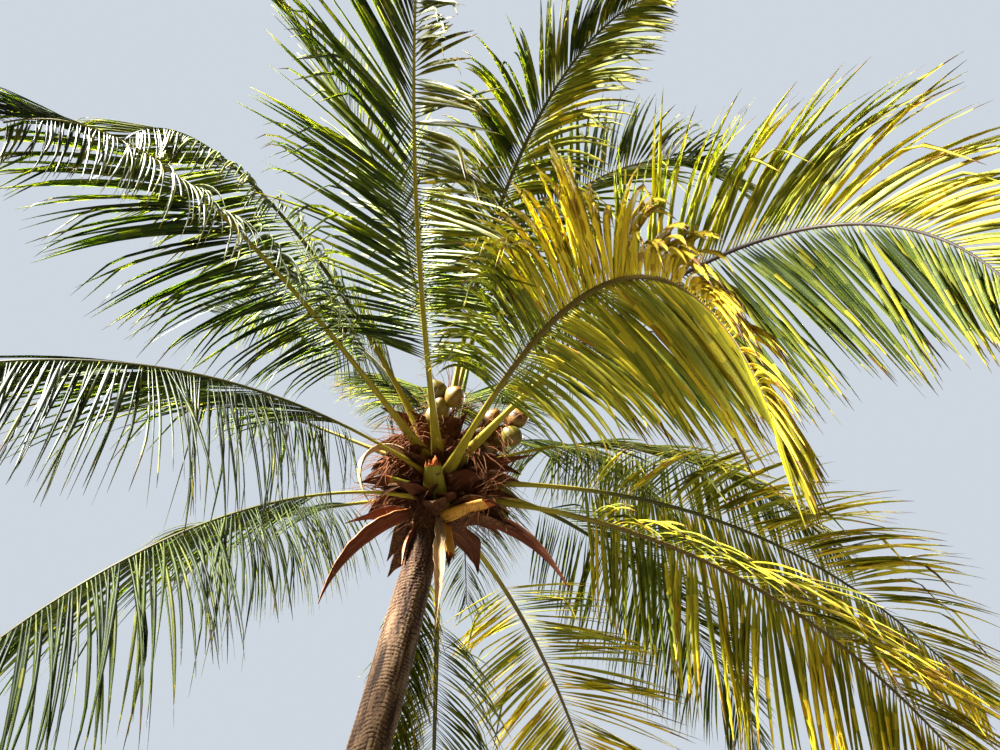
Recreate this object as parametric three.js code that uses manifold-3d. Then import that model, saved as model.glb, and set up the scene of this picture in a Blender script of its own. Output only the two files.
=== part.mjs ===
// A coconut palm, rooted in the ground: a leaning trunk with a swollen foot, the crown's heart, and the
// long fronds, fruit bunches, woody bracts and old leaf stubs that grow out of it. Millimetres, +Z up, the
// origin at ground level in the middle of the trunk's flat foot, +X the way the trunk leans.
import * as THREE from 'three';
import { mergeVertices } from 'three/addons/utils/BufferGeometryUtils.js';
import Module from 'manifold-3d';

const wasm = await Module();
wasm.setup();

// Trunk
const TRUNK_HEIGHT = 5350;
const LEAN_HEIGHT = 5900;
const LEAN_REACH = 1000;
const LEAN_CURVE = 0.18;
const SHAFT_RADIUS = 158;
const SHAFT_TAPER = 12;
const NECK_START = 4200;
const NECK_TAPER = 20;
const FLARE_RADIUS = 140;
const FLARE_HEIGHT = 320;
const TRUNK_SIDES = 18;
const TRUNK_RINGS = 15;
const TRUNK_CROWDING = 1.6;

// Heart: [height above the trunk's top, radius]
const GAP = 0.3;
const HEART_SIDES = 16;
const HEART_PROFILE = [[GAP, 126], [90, 165], [240, 210], [520, 225], [800, 190], [1000, 130], [1150, 58]];

// Limbs leave the heart at SEAT_HEIGHT plus their own seat, SEAT_RADIUS out from its middle there, and start
// LIMB_ROOT inside it.
const SEAT_HEIGHT = 5850;
const SEAT_RADIUS = 120;
const LIMB_ROOT = 120;

// Fronds
const STEPS = 60;
const BEND_POWER = 1.4;
const SWEEP_POWER = 1.5;
const BARE_SHARE = 0.25;
const UNDERSIDE_SHARE = 0.7;
const RIB_BASE_WIDTH = 180;
const RIB_WIDTH = 70;
const RIB_TIP_WIDTH = 14;
const RIB_FLATNESS = 0.62;
const NARROWED_SHARE = 0.15;
const PETIOLE_KNOTS = [0, 0.06, NARROWED_SHARE];
const PAIRS = 11;
const ROOT_SHARE = 0.34;
const LEAFLET_WIDTH = 170;
const LEAFLET_THICKNESS = 14;
const LEAFLET_BEND = 4;
const LEAFLET_STEPS = 8;
const SAG_POWER = 1.3;
const STIFFENING = 0.8;
const SIZES = [1, 0.7, 0.45];
const CLEARANCE = 2;
const SPLIT_TURN = 84;
const SPLIT_PAIR = 4;

// Leaflets point out at FOOT_ANGLE from the rib at the blade's foot and TIP_ANGLE at its tip. Their length
// opens from FOOT_REACH of the longest to all of it by OPENED, and closes after CLOSING to TIP_REACH.
const FOOT_ANGLE = 72;
const TIP_ANGLE = 28;
const ANGLE_POWER = 1.3;
const FOOT_REACH = 0.62;
const OPENED = 0.28;
const CLOSING = 0.45;
const TIP_REACH = 0.28;
const CLOSING_POWER = 1.5;
const NARROWEST = 0.4;

// One row a frond, from the oldest and lowest to the youngest: azimuth and launch and tip elevation in
// degrees, bend power, sideways sweep in degrees, length and longest leaflet in mm, the leaflets' rise out
// of the blade in degrees, their limpness, the blade's roll and twist in degrees, the seat in mm, and by how
// many degrees more the left leaflets rise toward the tip.
const FRONDS = [
  [92, -22, -65, 0.9, 0, 4300, 1200, -20, 1.5, 3, 0, -250, 0],
  [105, -19, -77, 0.9, 0, 2600, 600, -29, 2.1, 4, 0, -160, 0],
  [65, 3, -71, 1.2, -4, 5000, 1300, 6, 0.3, 0, -7, -200, 0],
  [222, -17, -73, 0.9, -5, 4450, 1300, -22, 0.7, -33, 10, -190, 0],
  [358, -8, -72, 1.3, 7, 4900, 1300, -30, 0.9, -6, -32, -120, 0],
  [291, -4, -90, 1.7, -4, 5300, 1300, 9, 2, -11, -43, 0, 0],
  [8, 6, -62, 1.5, 2, 5000, 1300, 7, 0.7, -1, -21, 60, 0],
  [239, -13, -59, 1.4, 9, 4750, 1300, -22, 0.6, -56, 32, 50, 0],
  [311, 12, -87, 1.9, -5, 5300, 1400, 9, 1.1, -29, -48, 100, 0],
  [89, 56, -40, 1.4, 0, 4900, 1150, 0, 1.4, 4, 5, 60, 0],
  [238, 14, -73, 1.6, 35, 5000, 1200, -30, 1.3, 5, -20, 170, 80],
  [268, 6, -35, 1.3, 13, 4900, 1200, -6, 0.4, 9, -75, 150, 0],
  [42, 20, -60, 1.3, 0, 4900, 1250, -30, 0.6, -15, 20, 100, 0],
  [25, 40, -50, 1.4, -8, 5200, 1150, -30, 0.5, 11, -5, 180, 0],
  [141, 26, 3, 1, 4, 4950, 1250, -12, 1.5, -7, 0, -80, 0],
  [230, 45, -88, 1.7, 31, 4700, 1100, -45, 1.4, 0, 0, 290, 100],
  [45, 52, -35, 1.4, 0, 4900, 1150, -17, 0.9, 16, 18, 260, 0],
  [112, 74, 10, 1.4, 0, 4800, 1150, 0, 0.8, 0, 0, 290, 0],
  [285, 60, -64, 1.5, 18, 5100, 1100, 43, 2, 12, -29, 310, 0],
  [297, 75, -82, 1.5, 50, 5000, 1100, 28, 0.9, 11, 16, 400, 0],
  [247, 74, -36, 1.6, 0, 5000, 1100, 11, 0.2, 5, -79, 400, 0],
  [165, 72, 5, 1.4, 5, 4600, 1200, 15, 0.7, 0, 0, 380, 0],
  [15, 70, -5, 1.4, 0, 4600, 1200, 15, 0.7, 0, 0, 400, 0],
  [80, 74, -10, 1.4, 0, 4700, 1200, 10, 0.8, 0, 0, 450, 0],
  [178, 29, 16, 1.4, -7, 4900, 950, -10, 0.8, -9, -40, 180, 0],
];

// Fruit bunches: azimuth, launch and tip elevation, length, seat
const NUT_RADIUS = 98;
const NUT_LENGTH = 1.2;
const NUT_TILT = 0.5;
const NUT_SIDES = 8;
const NUT_BANDS = 5;
const NUT_REACH = 108;
const NUT_ROOM = 150;
const HEART_ROOM = 330;
const NUTS_A_WHORL = 3;
const WHORLS = 3;
const WHORL_STEP = 0.24;
const STALK_RADIUS = 17;
const STALK_KNOTS = [0, 0.3, 0.6, 1];
const BUNCHES = [
  [322, 38, -20, 760, 130],
  [278, 56, 20, 560, 330],
  [78, 30, -30, 640, 150],
  [128, 40, -20, 620, 260],
];

// Woody bracts: azimuth, launch and tip elevation, length, full width, seat. A bract is BRACT_FOOT of its
// width at the foot, and its rims stand up by BRACT_RIM of its half width.
const BRACT_SHELL = 16;
const BRACT_FOOT = 0.35;
const BRACT_RIM = 0.35;
const BRACT_POINT = 1.15;
const BRACT_FULLNESS = 0.8;
const BRACT_KNOTS = [0, 0.15, 0.35, 0.6, 0.82];
const BRACTS = [
  [188, -25, -78, 1250, 200, -300],
  [356, -10, -66, 1300, 190, -330],
  [14, 4, -40, 900, 150, -280],
  [340, 22, 0, 800, 150, -40],
  [348, 38, 14, 760, 140, 110],
  [205, -62, -84, 520, 110, -400],
  [282, -62, -90, 1250, 100, -420],
  [221, 62, -140, 1300, 95, -60],
];

// Stubs of old leaf stalks: azimuth, elevation, length, base width, seat
const STUB_FLATNESS = 0.5;
const STUB_DROOP = 12;
const STUB_TAPER = 0.42;
const STUB_KNOTS = [0, 0.3, 0.7, 1];
const STUBS = [
  [266, 42, 470, 210, -330],
  [328, 4, 480, 170, -390],
  [310, -66, 400, 115, -520],
  [196, 20, 430, 150, -120],
  [262, 58, 330, 110, 60],
];

// Spear: the unopened youngest leaf
const SPEAR_LENGTH = 1900;
const SPEAR_RADIUS = 42;
const SPEAR_FOOT = 1150;
const SPEAR_SIDES = 8;
const SPEAR_TAPER = 0.85;
const SPEAR_KNOTS = [0, 0.25, 0.6, 1];

const COLOURS = {
  trunk: 0x8a7358,
  heart: 0x5b3a22,
  frond: 0x6f8a2c,
  spear: 0x9aa63e,
  fruit: 0x8d7a2d,
  bract: 0x7a3b22,
  stub: 0xa79a35,
};

const degrees = THREE.MathUtils.degToRad;
const mix = THREE.MathUtils.lerp;
const ease = THREE.MathUtils.smoothstep;

function leanX(height) {
  const share = height / LEAN_HEIGHT;
  return LEAN_REACH * ((1 + LEAN_CURVE) * share - LEAN_CURVE * share * share);
}

function trunkRadius(height) {
  const flare = FLARE_RADIUS * Math.exp(-height / FLARE_HEIGHT);
  const neck = NECK_TAPER * ease(height, NECK_START, TRUNK_HEIGHT);
  return SHAFT_RADIUS - SHAFT_TAPER * height / TRUNK_HEIGHT - neck + flare;
}

// A closed skin over rings of equally many points. A last ring of one point makes a tip.
function loft(rings) {
  const sides = rings[0].length;
  const points = rings.flat();
  const triangles = [];
  for (let ring = 0; ring + 1 < rings.length; ring++) {
    const low = ring * sides;
    const high = low + sides;
    for (let side = 0; side < sides; side++) {
      const next = (side + 1) % sides;
      if (rings[ring + 1].length === 1) {
        triangles.push([low + side, low + next, high]);
      } else {
        triangles.push([low + side, low + next, high + next], [low + side, high + next, high + side]);
      }
    }
  }
  for (let side = 1; side + 1 < sides; side++) {
    triangles.push([0, side + 1, side]);
    if (rings.at(-1).length > 1) {
      const last = points.length - sides;
      triangles.push([last, last + side, last + side + 1]);
    }
  }
  return skin(points, triangles);
}

// A solid from a closed skin, turned so that its faces look outward.
function skin(points, triangles) {
  const wedge = ([a, b, c]) => points[a].dot(points[b].clone().cross(points[c]));
  const volume = triangles.reduce((sum, triangle) => sum + wedge(triangle), 0);
  const outward = volume > 0 ? triangles : triangles.map(([a, b, c]) => [a, c, b]);
  return new wasm.Manifold(new wasm.Mesh({
    numProp: 3,
    vertProperties: Float32Array.from(points.flatMap((point) => point.toArray())),
    triVerts: Uint32Array.from(outward.flat()),
  }));
}

function levelRing(x, height, radius, sides) {
  return Array.from({ length: sides }, (_, side) => {
    const angle = 2 * Math.PI * side / sides;
    return new THREE.Vector3(x + radius * Math.cos(angle), radius * Math.sin(angle), height);
  });
}

function fromSphere(radius, stretch, centre, direction) {
  const sphere = new THREE.SphereGeometry(radius, NUT_SIDES, NUT_BANDS);
  sphere.deleteAttribute('normal');
  sphere.deleteAttribute('uv');
  sphere.scale(1, stretch, 1);
  sphere.applyQuaternion(new THREE.Quaternion().setFromUnitVectors(new THREE.Vector3(0, 1, 0), direction));
  sphere.translate(centre.x, centre.y, centre.z);
  const merged = mergeVertices(sphere);
  return new wasm.Manifold(new wasm.Mesh({
    numProp: 3,
    vertProperties: Float32Array.from(merged.attributes.position.array),
    triVerts: Uint32Array.from(merged.index.array),
  }));
}

// The line of a limb that leaves the heart and bends under its own weight: its elevation falls from launch
// to tip by a power of the way along, and it is walked in equal steps. Each station has its place and the
// limb's own axes.
function limbLine({ azimuth, launch, tip, bend, sweep, length, roll, twist, seat }) {
  const heading = degrees(azimuth);
  const place = new THREE.Vector3(LEAN_REACH, 0, SEAT_HEIGHT + seat);
  place.x += SEAT_RADIUS * Math.cos(heading);
  place.y += SEAT_RADIUS * Math.sin(heading);
  const stations = [];
  for (let step = 0; step <= STEPS; step++) {
    const share = step / STEPS;
    const rise = degrees(launch + (tip - launch) * share ** bend);
    const way = heading + degrees(sweep) * share ** SWEEP_POWER;
    const level = new THREE.Vector3(Math.cos(way), Math.sin(way), 0);
    const along = level.clone().multiplyScalar(Math.cos(rise)).setZ(Math.sin(rise));
    const over = level.clone().multiplyScalar(-Math.sin(rise)).setZ(Math.cos(rise));
    const turn = degrees(roll + twist * share);
    const across = along.clone().cross(over).applyAxisAngle(along, turn);
    over.applyAxisAngle(along, turn);
    if (step > 0) {
      const before = stations.at(-1).along;
      place.add(before.clone().add(along).multiplyScalar(0.5 * length / STEPS));
    }
    stations.push({ place: place.clone(), along, over, across });
  }
  return stations;
}

// A short limb that neither sweeps nor turns.
function plainLimb(measures) {
  return limbLine({ bend: BEND_POWER, sweep: 0, roll: 0, twist: 0, ...measures });
}

function stationAt(stations, share) {
  const spot = Math.min(Math.max(share, 0), 1) * STEPS;
  const index = Math.min(Math.floor(spot), STEPS - 1);
  const part = spot - index;
  const blend = (name) => stations[index][name].clone().lerp(stations[index + 1][name], part);
  const axis = (name) => blend(name).normalize();
  return { place: blend('place'), along: axis('along'), over: axis('over'), across: axis('across') };
}

function at({ place, along, over, across }, x, y, z = 0) {
  return place.clone().addScaledVector(across, x).addScaledVector(over, y).addScaledVector(along, z);
}

// The four corners of a stalk's section at one station: a flat top with the sides drawn in below. The first
// section is set back into the heart, and a grown stalk is longer too.
function stalkRing(stations, share, width, flatness, grow = 0) {
  const station = stationAt(stations, share);
  const half = width / 2 + grow;
  const deep = width / 2 * flatness + grow;
  const ahead = share === 0 ? -LIMB_ROOT - grow : share === 1 ? grow : 0;
  return [
    at(station, -half, deep, ahead),
    at(station, half, deep, ahead),
    at(station, UNDERSIDE_SHARE * half, -deep, ahead),
    at(station, -UNDERSIDE_SHARE * half, -deep, ahead),
  ];
}

function stalk(stations, knots, width, flatness, grow = 0) {
  return loft(knots.map((share) => stalkRing(stations, share, width(share), flatness, grow)));
}

function ribWidth(share) {
  if (share < NARROWED_SHARE) {
    return mix(RIB_BASE_WIDTH, RIB_WIDTH, Math.sqrt(share / NARROWED_SHARE));
  }
  return mix(RIB_WIDTH, RIB_TIP_WIDTH, (share - NARROWED_SHARE) / (1 - NARROWED_SHARE));
}

function leafletReach(share) {
  const opening = mix(FOOT_REACH, 1, Math.min(share / OPENED, 1));
  const closed = Math.max((share - CLOSING) / (1 - CLOSING), 0) ** CLOSING_POWER;
  return opening * mix(1, TIP_REACH, closed);
}

// The blade runs from BARE_SHARE of the rib to its tip, and each pair of leaflets has an equal stretch of it.
function bladeShare(pair) {
  return BARE_SHARE + (1 - BARE_SHARE) * pair / PAIRS;
}

// One leaflet's root, middle and tip. It leaves the rib forward and outward, and sags toward the ground on
// its way. Where a frond's left leaflets rise more toward its tip, they also stiffen there.
function leafletRings(frond, pair, side, scale, grow) {
  const share = (pair + 0.5) / PAIRS;
  const station = stationAt(frond.stations, bladeShare(pair + 0.5));
  const length = frond.leaflet * leafletReach(share) * scale;
  const forward = degrees(mix(FOOT_ANGLE, TIP_ANGLE, share ** ANGLE_POWER));
  const lifting = side > 0 && frond.lift > 0 ? share ** 2 : 0;
  const rise = degrees(frond.rise + frond.lift * lifting);
  const limp = frond.limp * (1 - STIFFENING * lifting);
  const start = station.along.clone().multiplyScalar(Math.cos(forward));
  start.addScaledVector(station.across, Math.sin(forward) * Math.cos(rise) * side);
  start.addScaledVector(station.over, Math.sin(forward) * Math.sin(rise));
  const place = station.place.clone();
  const headings = [start];
  const places = [place.clone()];
  for (let step = 1; step <= LEAFLET_STEPS; step++) {
    const heading = start.clone();
    heading.z -= limp * (step / LEAFLET_STEPS) ** SAG_POWER;
    heading.normalize();
    place.addScaledVector(heading.clone().add(headings.at(-1)), 0.5 * length / LEAFLET_STEPS);
    headings.push(heading);
    places.push(place.clone());
  }
  const heading = headings[LEAFLET_BEND];
  const front = station.along.clone().projectOnPlane(heading).normalize();
  const top = heading.clone().cross(front).multiplyScalar(side);
  const wide = LEAFLET_WIDTH * mix(NARROWEST, 1, leafletReach(share)) * Math.sqrt(scale) / 2 + grow;
  const deep = (LEAFLET_THICKNESS / 2 + grow) * side;
  const bend = places[LEAFLET_BEND];
  const middle = { place: bend, along: heading, over: top, across: front };
  const low = ribRing(frond, pair + 0.5 - ROOT_SHARE / 2, grow);
  const high = ribRing(frond, pair + 0.5 + ROOT_SHARE / 2, grow);
  return {
    root: side > 0 ? [low[1], low[2], high[2], high[1]] : [low[3], low[0], high[0], high[3]],
    middle: [[-1, 1], [-1, -1], [1, -1], [1, 1]].map(([x, y]) => at(middle, x * wide, y * deep)),
    tip: [place.clone().addScaledVector(headings.at(-1), grow)],
  };
}

function ribRing(frond, pair, grow = 0) {
  const share = bladeShare(pair);
  return stalkRing(frond.stations, share, ribWidth(share), RIB_FLATNESS, grow);
}

// The skin of one frond, or of one part of a split frond: the rib with a leaflet drawn out of its side
// wherever there is room for one.
function blade(frond, part, leaflets) {
  const petiole = PETIOLE_KNOTS.map((share) => {
    return stalkRing(frond.stations, share, ribWidth(share), RIB_FLATNESS);
  });
  const foot = part.from === 0 ? petiole : [ribRing(frond, part.from + frond.gap)];
  const rings = foot.map((ring) => ({ ring }));
  for (let pair = part.from; pair < part.to; pair++) {
    rings.push({ ring: ribRing(frond, pair + 0.5 - ROOT_SHARE / 2), pair });
    rings.push({ ring: ribRing(frond, pair + 0.5 + ROOT_SHARE / 2) });
  }
  rings.push({ ring: ribRing(frond, part.to) });
  const points = rings.flatMap(({ ring }) => ring);
  const triangles = [[0, 2, 1], [0, 3, 2]];
  const wall = (a, b, c, d) => triangles.push([a, b, c], [a, c, d]);
  for (let index = 0; index + 1 < rings.length; index++) {
    for (let corner = 0; corner < 4; corner++) {
      const next = (corner + 1) % 4;
      const low = 4 * index;
      const high = low + 4;
      const hole = [low + corner, low + next, high + next, high + corner];
      const side = corner === 1 ? 1 : -1;
      const { pair } = rings[index];
      const drawn = corner % 2 === 1 && leaflets.find((one) => one.pair === pair && one.side === side);
      if (!drawn) {
        wall(...hole);
        continue;
      }
      const { middle, tip } = leafletRings(frond, drawn.pair, side, drawn.scale, 0);
      const first = points.length;
      points.push(...middle, ...tip);
      for (let edge = 0; edge < 4; edge++) {
        const after = (edge + 1) % 4;
        wall(hole[edge], hole[after], first + after, first + edge);
        triangles.push([first + edge, first + after, first + 4]);
      }
    }
  }
  const last = 4 * (rings.length - 1);
  triangles.push([last, last + 1, last + 2], [last, last + 2, last + 3]);
  return skin(points, triangles);
}

function overlaps(solid, other) {
  const a = solid.boundingBox();
  const b = other.boundingBox();
  for (let axis = 0; axis < 3; axis++) {
    if (a.min[axis] > b.max[axis] || b.min[axis] > a.max[axis]) {
      return false;
    }
  }
  return !solid.intersect(other).isEmpty();
}

function toGeometry(solid) {
  const { vertProperties, triVerts } = solid.getMesh();
  const geometry = new THREE.BufferGeometry();
  geometry.setAttribute('position', new THREE.BufferAttribute(vertProperties, 3));
  geometry.setIndex(new THREE.BufferAttribute(triVerts, 1));
  geometry.computeVertexNormals();
  return geometry;
}

const palm = new THREE.Group();

function add(name, solid, colour, roughness) {
  const material = new THREE.MeshStandardMaterial({ color: colour, roughness, metalness: 0 });
  const mesh = new THREE.Mesh(toGeometry(solid), material);
  mesh.name = name;
  palm.add(mesh);
}

function trunk(grow = 0) {
  const rings = [];
  for (let ring = 0; ring <= TRUNK_RINGS; ring++) {
    const height = TRUNK_HEIGHT * (ring / TRUNK_RINGS) ** TRUNK_CROWDING;
    rings.push(levelRing(leanX(height), height, trunkRadius(height) + grow, TRUNK_SIDES));
  }
  return loft(rings);
}

function heart(grow) {
  const last = HEART_PROFILE.length - 1;
  return loft(HEART_PROFILE.map(([rise, radius], index) => {
    const end = index === 0 ? -grow : index === last ? grow : 0;
    const height = TRUNK_HEIGHT + rise + end;
    return levelRing(leanX(height), height, radius + grow, HEART_SIDES);
  }));
}

function spear(grow = 0) {
  return loft(SPEAR_KNOTS.map((share) => {
    const height = TRUNK_HEIGHT + SPEAR_FOOT + GAP + SPEAR_LENGTH * share;
    return levelRing(leanX(height), height, SPEAR_RADIUS * (1 - SPEAR_TAPER * share) + grow, SPEAR_SIDES);
  }));
}

// A bunch: a stalk with whorls of nuts against it, wherever a nut clears the heart and the limbs' lines.
function bunch([azimuth, launch, tip, length, seat], grow) {
  const stations = plainLimb({ azimuth, launch, tip, length, seat });
  let solid = stalk(stations, STALK_KNOTS, () => 2 * STALK_RADIUS, 1, grow);
  for (const { centre, long } of nutPlaces(stations)) {
    solid = solid.add(fromSphere(NUT_RADIUS + grow, NUT_LENGTH, centre, long));
  }
  return solid;
}

function nutPlaces(stations) {
  const places = [];
  for (let whorl = 0; whorl < WHORLS; whorl++) {
    const station = stationAt(stations, 1 - WHORL_STEP * (WHORLS - 1 - whorl));
    for (let nut = 0; nut < NUTS_A_WHORL; nut++) {
      const angle = 2 * Math.PI * (nut / NUTS_A_WHORL + whorl / (2 * NUTS_A_WHORL));
      const outward = station.across.clone().multiplyScalar(Math.cos(angle));
      outward.addScaledVector(station.over, Math.sin(angle));
      const centre = station.place.clone().addScaledVector(outward, NUT_REACH);
      const long = station.along.clone().addScaledVector(outward, NUT_TILT).normalize();
      const bare = fronds.flatMap((frond) => frond.stations.slice(0, STEPS * BARE_SHARE + 1));
      const clear = bare.every((other) => other.place.distanceTo(centre) > NUT_ROOM);
      if (clear && Math.hypot(centre.x - leanX(centre.z), centre.y) > HEART_ROOM) {
        places.push({ centre, long });
      }
    }
  }
  return places;
}

// A bract is a long boat: a shallow trough, wide in the middle and pointed at its tip.
function bract([azimuth, launch, tip, length, width, seat], grow) {
  const stations = plainLimb({ azimuth, launch, tip, bend: 1, length, seat });
  const rings = BRACT_KNOTS.map((share, index) => {
    const station = stationAt(stations, share);
    const swell = Math.sin(Math.PI * Math.min(share * BRACT_POINT, 1) ** BRACT_FULLNESS);
    const half = width / 2 * mix(BRACT_FOOT, 1, swell) + grow;
    const thick = BRACT_SHELL / 2 + grow;
    const back = index === 0 ? -LIMB_ROOT : 0;
    const rim = BRACT_RIM * half;
    const inside = [[-half, rim + thick], [0, thick], [half, rim + thick]];
    const outside = [[half, rim - thick], [0, -thick], [-half, rim - thick]];
    return [...inside, ...outside].map(([x, y]) => at(station, x, y, back));
  });
  rings.push([stationAt(stations, 1).place]);
  return loft(rings);
}

function stub([azimuth, elevation, length, width, seat], grow) {
  const stations = plainLimb({ azimuth, launch: elevation, tip: elevation - STUB_DROOP, length, seat });
  return stalk(stations, STUB_KNOTS, (share) => width * (1 - STUB_TAPER * share), STUB_FLATNESS, grow);
}

// What is left of a limb where it stands clear of the heart, the trunk and every limb before it. Loose
// scraps go.
function cutClear(solid, spaces) {
  const cut = (left, space) => (overlaps(left, space) ? left.subtract(space) : left);
  const rest = spaces.reduce(cut, solid);
  return rest.decompose().sort((a, b) => b.volume() - a.volume())[0];
}

const fronds = FRONDS.map((row, index) => {
  const [azimuth, launch, tip, bend, sweep, length, leaflet, rise, limp, roll, twist, seat, lift] = row;
  const name = `frond_${String(index + 1).padStart(2, '0')}`;
  const stations = limbLine({ azimuth, launch, tip, bend, sweep, length, roll, twist, seat });
  const gap = GAP * PAIRS / (length * (1 - BARE_SHARE));
  return { name, split: launch - tip > SPLIT_TURN, leaflet, rise, limp, lift, stations, gap };
});

add('trunk', trunk(), COLOURS.trunk, 0.9);
add('crown_heart', heart(0), COLOURS.heart, 0.95);
add('spear_leaf', spear(), COLOURS.spear, 0.6);
const spaces = [heart(GAP), trunk(GAP), spear(GAP)];

// Every rib is placed first, then the stubs, bracts and bunches between them, and the leaflets last.
const parts = [];
for (const frond of fronds) {
  const cuts = frond.split ? [[0, SPLIT_PAIR, '_inner'], [SPLIT_PAIR, PAIRS, '_outer']] : [[0, PAIRS, '']];
  for (const [from, to, ending] of cuts) {
    const part = { name: frond.name + ending, from, to, frond };
    const pairs = Array.from({ length: to - from }, (_, index) => bladeShare(from + 1 + index));
    const foot = from === 0 ? [...PETIOLE_KNOTS, bladeShare(0)] : [bladeShare(from + frond.gap)];
    const knots = [...foot, ...pairs];
    part.cut = from === 0 ? spaces.slice() : [];
    part.rib = stalk(frond.stations, knots, ribWidth, RIB_FLATNESS, CLEARANCE);
    parts.push(part);
    spaces.push(stalk(frond.stations, knots, ribWidth, RIB_FLATNESS, GAP));
  }
}

const limbs = [
  ...STUBS.map((row, index) => [`leaf_stub_${index + 1}`, stub, row, COLOURS.stub]),
  ...BUNCHES.map((row, index) => [`fruit_bunch_${index + 1}`, bunch, row, COLOURS.fruit]),
  ...BRACTS.map((row, index) => [`bract_${index + 1}`, bract, row, COLOURS.bract]),
];
const blockers = [heart(CLEARANCE), trunk(CLEARANCE), spear(CLEARANCE)];
for (const [name, build, row, colour] of limbs) {
  const solid = cutClear(build(row, 0), spaces);
  spaces.push(build(row, GAP));
  blockers.push(solid);
  add(name, solid, colour, 0.8);
}

const finished = [];
for (const part of parts) {
  const otherRibs = parts.filter((other) => other !== part).map((other) => other.rib);
  const others = [...blockers, ...finished, ...otherRibs];
  const leaflets = [];
  for (let pair = part.from; pair < part.to; pair++) {
    for (const side of [-1, 1]) {
      const scale = SIZES.find((size) => {
        const { root, middle, tip } = leafletRings(part.frond, pair, side, size, CLEARANCE);
        const space = loft([root, middle, tip]);
        return !others.some((other) => overlaps(space, other));
      });
      if (scale) {
        leaflets.push({ pair, side, scale });
      }
    }
  }
  const solid = cutClear(blade(part.frond, part, leaflets), part.cut);
  finished.push(solid);
  add(part.name, solid, COLOURS.frond, 0.65);
}

export default palm;
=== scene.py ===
# %% [markdown]
# # A coconut palm
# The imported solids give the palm's sizes: the leaning trunk, the heart of the crown, and every frond as a
# blade cut to its rib. This lesson grows the same limbs again by the same rule, with about as many leaflets
# as a real palm has. Everything is a stack of sections worked out as numpy arrays, because a palm is almost
# nothing but long tapering shapes: one lofting function then serves the trunk, the ribs, the leaflets, the
# nuts and the fibres.

import bpy
import numpy as np
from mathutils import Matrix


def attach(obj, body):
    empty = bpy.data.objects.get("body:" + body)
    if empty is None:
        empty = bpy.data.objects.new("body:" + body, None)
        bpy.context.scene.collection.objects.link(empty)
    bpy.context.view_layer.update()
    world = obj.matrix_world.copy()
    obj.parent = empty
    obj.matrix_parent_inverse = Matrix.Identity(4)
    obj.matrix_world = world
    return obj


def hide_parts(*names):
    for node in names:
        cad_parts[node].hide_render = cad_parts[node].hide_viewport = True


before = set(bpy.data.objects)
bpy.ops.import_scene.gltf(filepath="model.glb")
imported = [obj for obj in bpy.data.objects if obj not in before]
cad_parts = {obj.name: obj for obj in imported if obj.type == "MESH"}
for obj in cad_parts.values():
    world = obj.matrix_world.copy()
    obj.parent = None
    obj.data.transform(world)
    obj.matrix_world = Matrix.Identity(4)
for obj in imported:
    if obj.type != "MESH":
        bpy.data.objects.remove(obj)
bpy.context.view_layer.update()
SEED = 11
TAU = 2 * np.pi

# %% What every piece needs


def seeded(number):
    """One piece's own random generator, the same in every run."""
    return np.random.default_rng(SEED + number)


def put(name, data):
    """A new object that shows the data, linked into the scene."""
    made = bpy.data.objects.new(name, data)
    bpy.context.scene.collection.objects.link(made)
    return made


def angles(corners):
    return np.arange(corners) * TAU / corners


print("seed", SEED)

# %% [markdown]
# ## Camera
# The photographer stands a few metres from the foot of the palm and looks up into the crown. A camera could
# be aimed with a constraint, but its named place and upward tilt say the same.

# %% Camera at the photographer's place
EYE = (1.55, -5.40, 1.55)
TILT_UP = np.radians(47)
LENS, SENSOR_WIDTH, CLIP_END = 27.04, 36, 500

camera = put("camera", bpy.data.cameras.new("camera"))
camera.location = EYE
camera.rotation_euler = (np.pi / 2 + TILT_UP, 0, 0)
camera.data.lens = LENS
camera.data.sensor_width = SENSOR_WIDTH
camera.data.clip_end = CLIP_END
bpy.context.scene.camera = camera
print("camera at", EYE, "lens", LENS)

# %% [markdown]
# ## Lofting
# A limb is a stack of closed sections. Blender could sweep a bevelled curve, but then a leaflet could not
# fold or a bract open like a boat. Here every section's corners are computed first, and the walls and end
# caps between them follow from the corner numbers alone, so hundreds of leaflets are skinned in one step.

# %% Skin stacks of sections


def loft(sections):
    """Closed skins round stacks of sections, shaped [skin, ring, corner, xyz].

    A wall joins each corner to the next corner and to the ring above. Each end is closed by strips that
    join the first corners to the last. A skin whose volume comes out negative is inside out, so its faces
    are reversed. Returns points, four-sided faces, and the ring that each face starts from.
    """
    skins, rings, corners = sections.shape[:3]
    ring, corner = np.meshgrid(np.arange(rings - 1), np.arange(corners), indexing="ij")
    here, beside = ring * corners + corner, ring * corners + (corner + 1) % corners
    wall = np.stack([here, beside, beside + corners, here + corners], -1).reshape(-1, 4)
    strip = np.arange(corners // 2 - 1)
    foot = np.stack([strip, corners - 1 - strip, corners - 2 - strip, strip + 1], -1)
    one = np.concatenate([wall, foot, foot[:, ::-1] + (rings - 1) * corners])
    points = sections.reshape(skins, rings * corners, 3)
    a, b, c, d = np.moveaxis((points - points.mean(1, keepdims=True))[:, one], 2, 0)
    volume = np.einsum("sfi,sfi->s", a, np.cross(b, c) + np.cross(c, d))
    faces = np.where((volume < 0)[:, None, None], one[None, :, ::-1], one[None])
    faces = faces + (np.arange(skins) * rings * corners)[:, None, None]
    ring_of_face = np.concatenate([ring.ravel(), np.zeros(len(strip), int), np.full(len(strip), rings - 2)])
    return points.reshape(-1, 3), faces.reshape(-1, 4), ring_of_face


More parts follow.
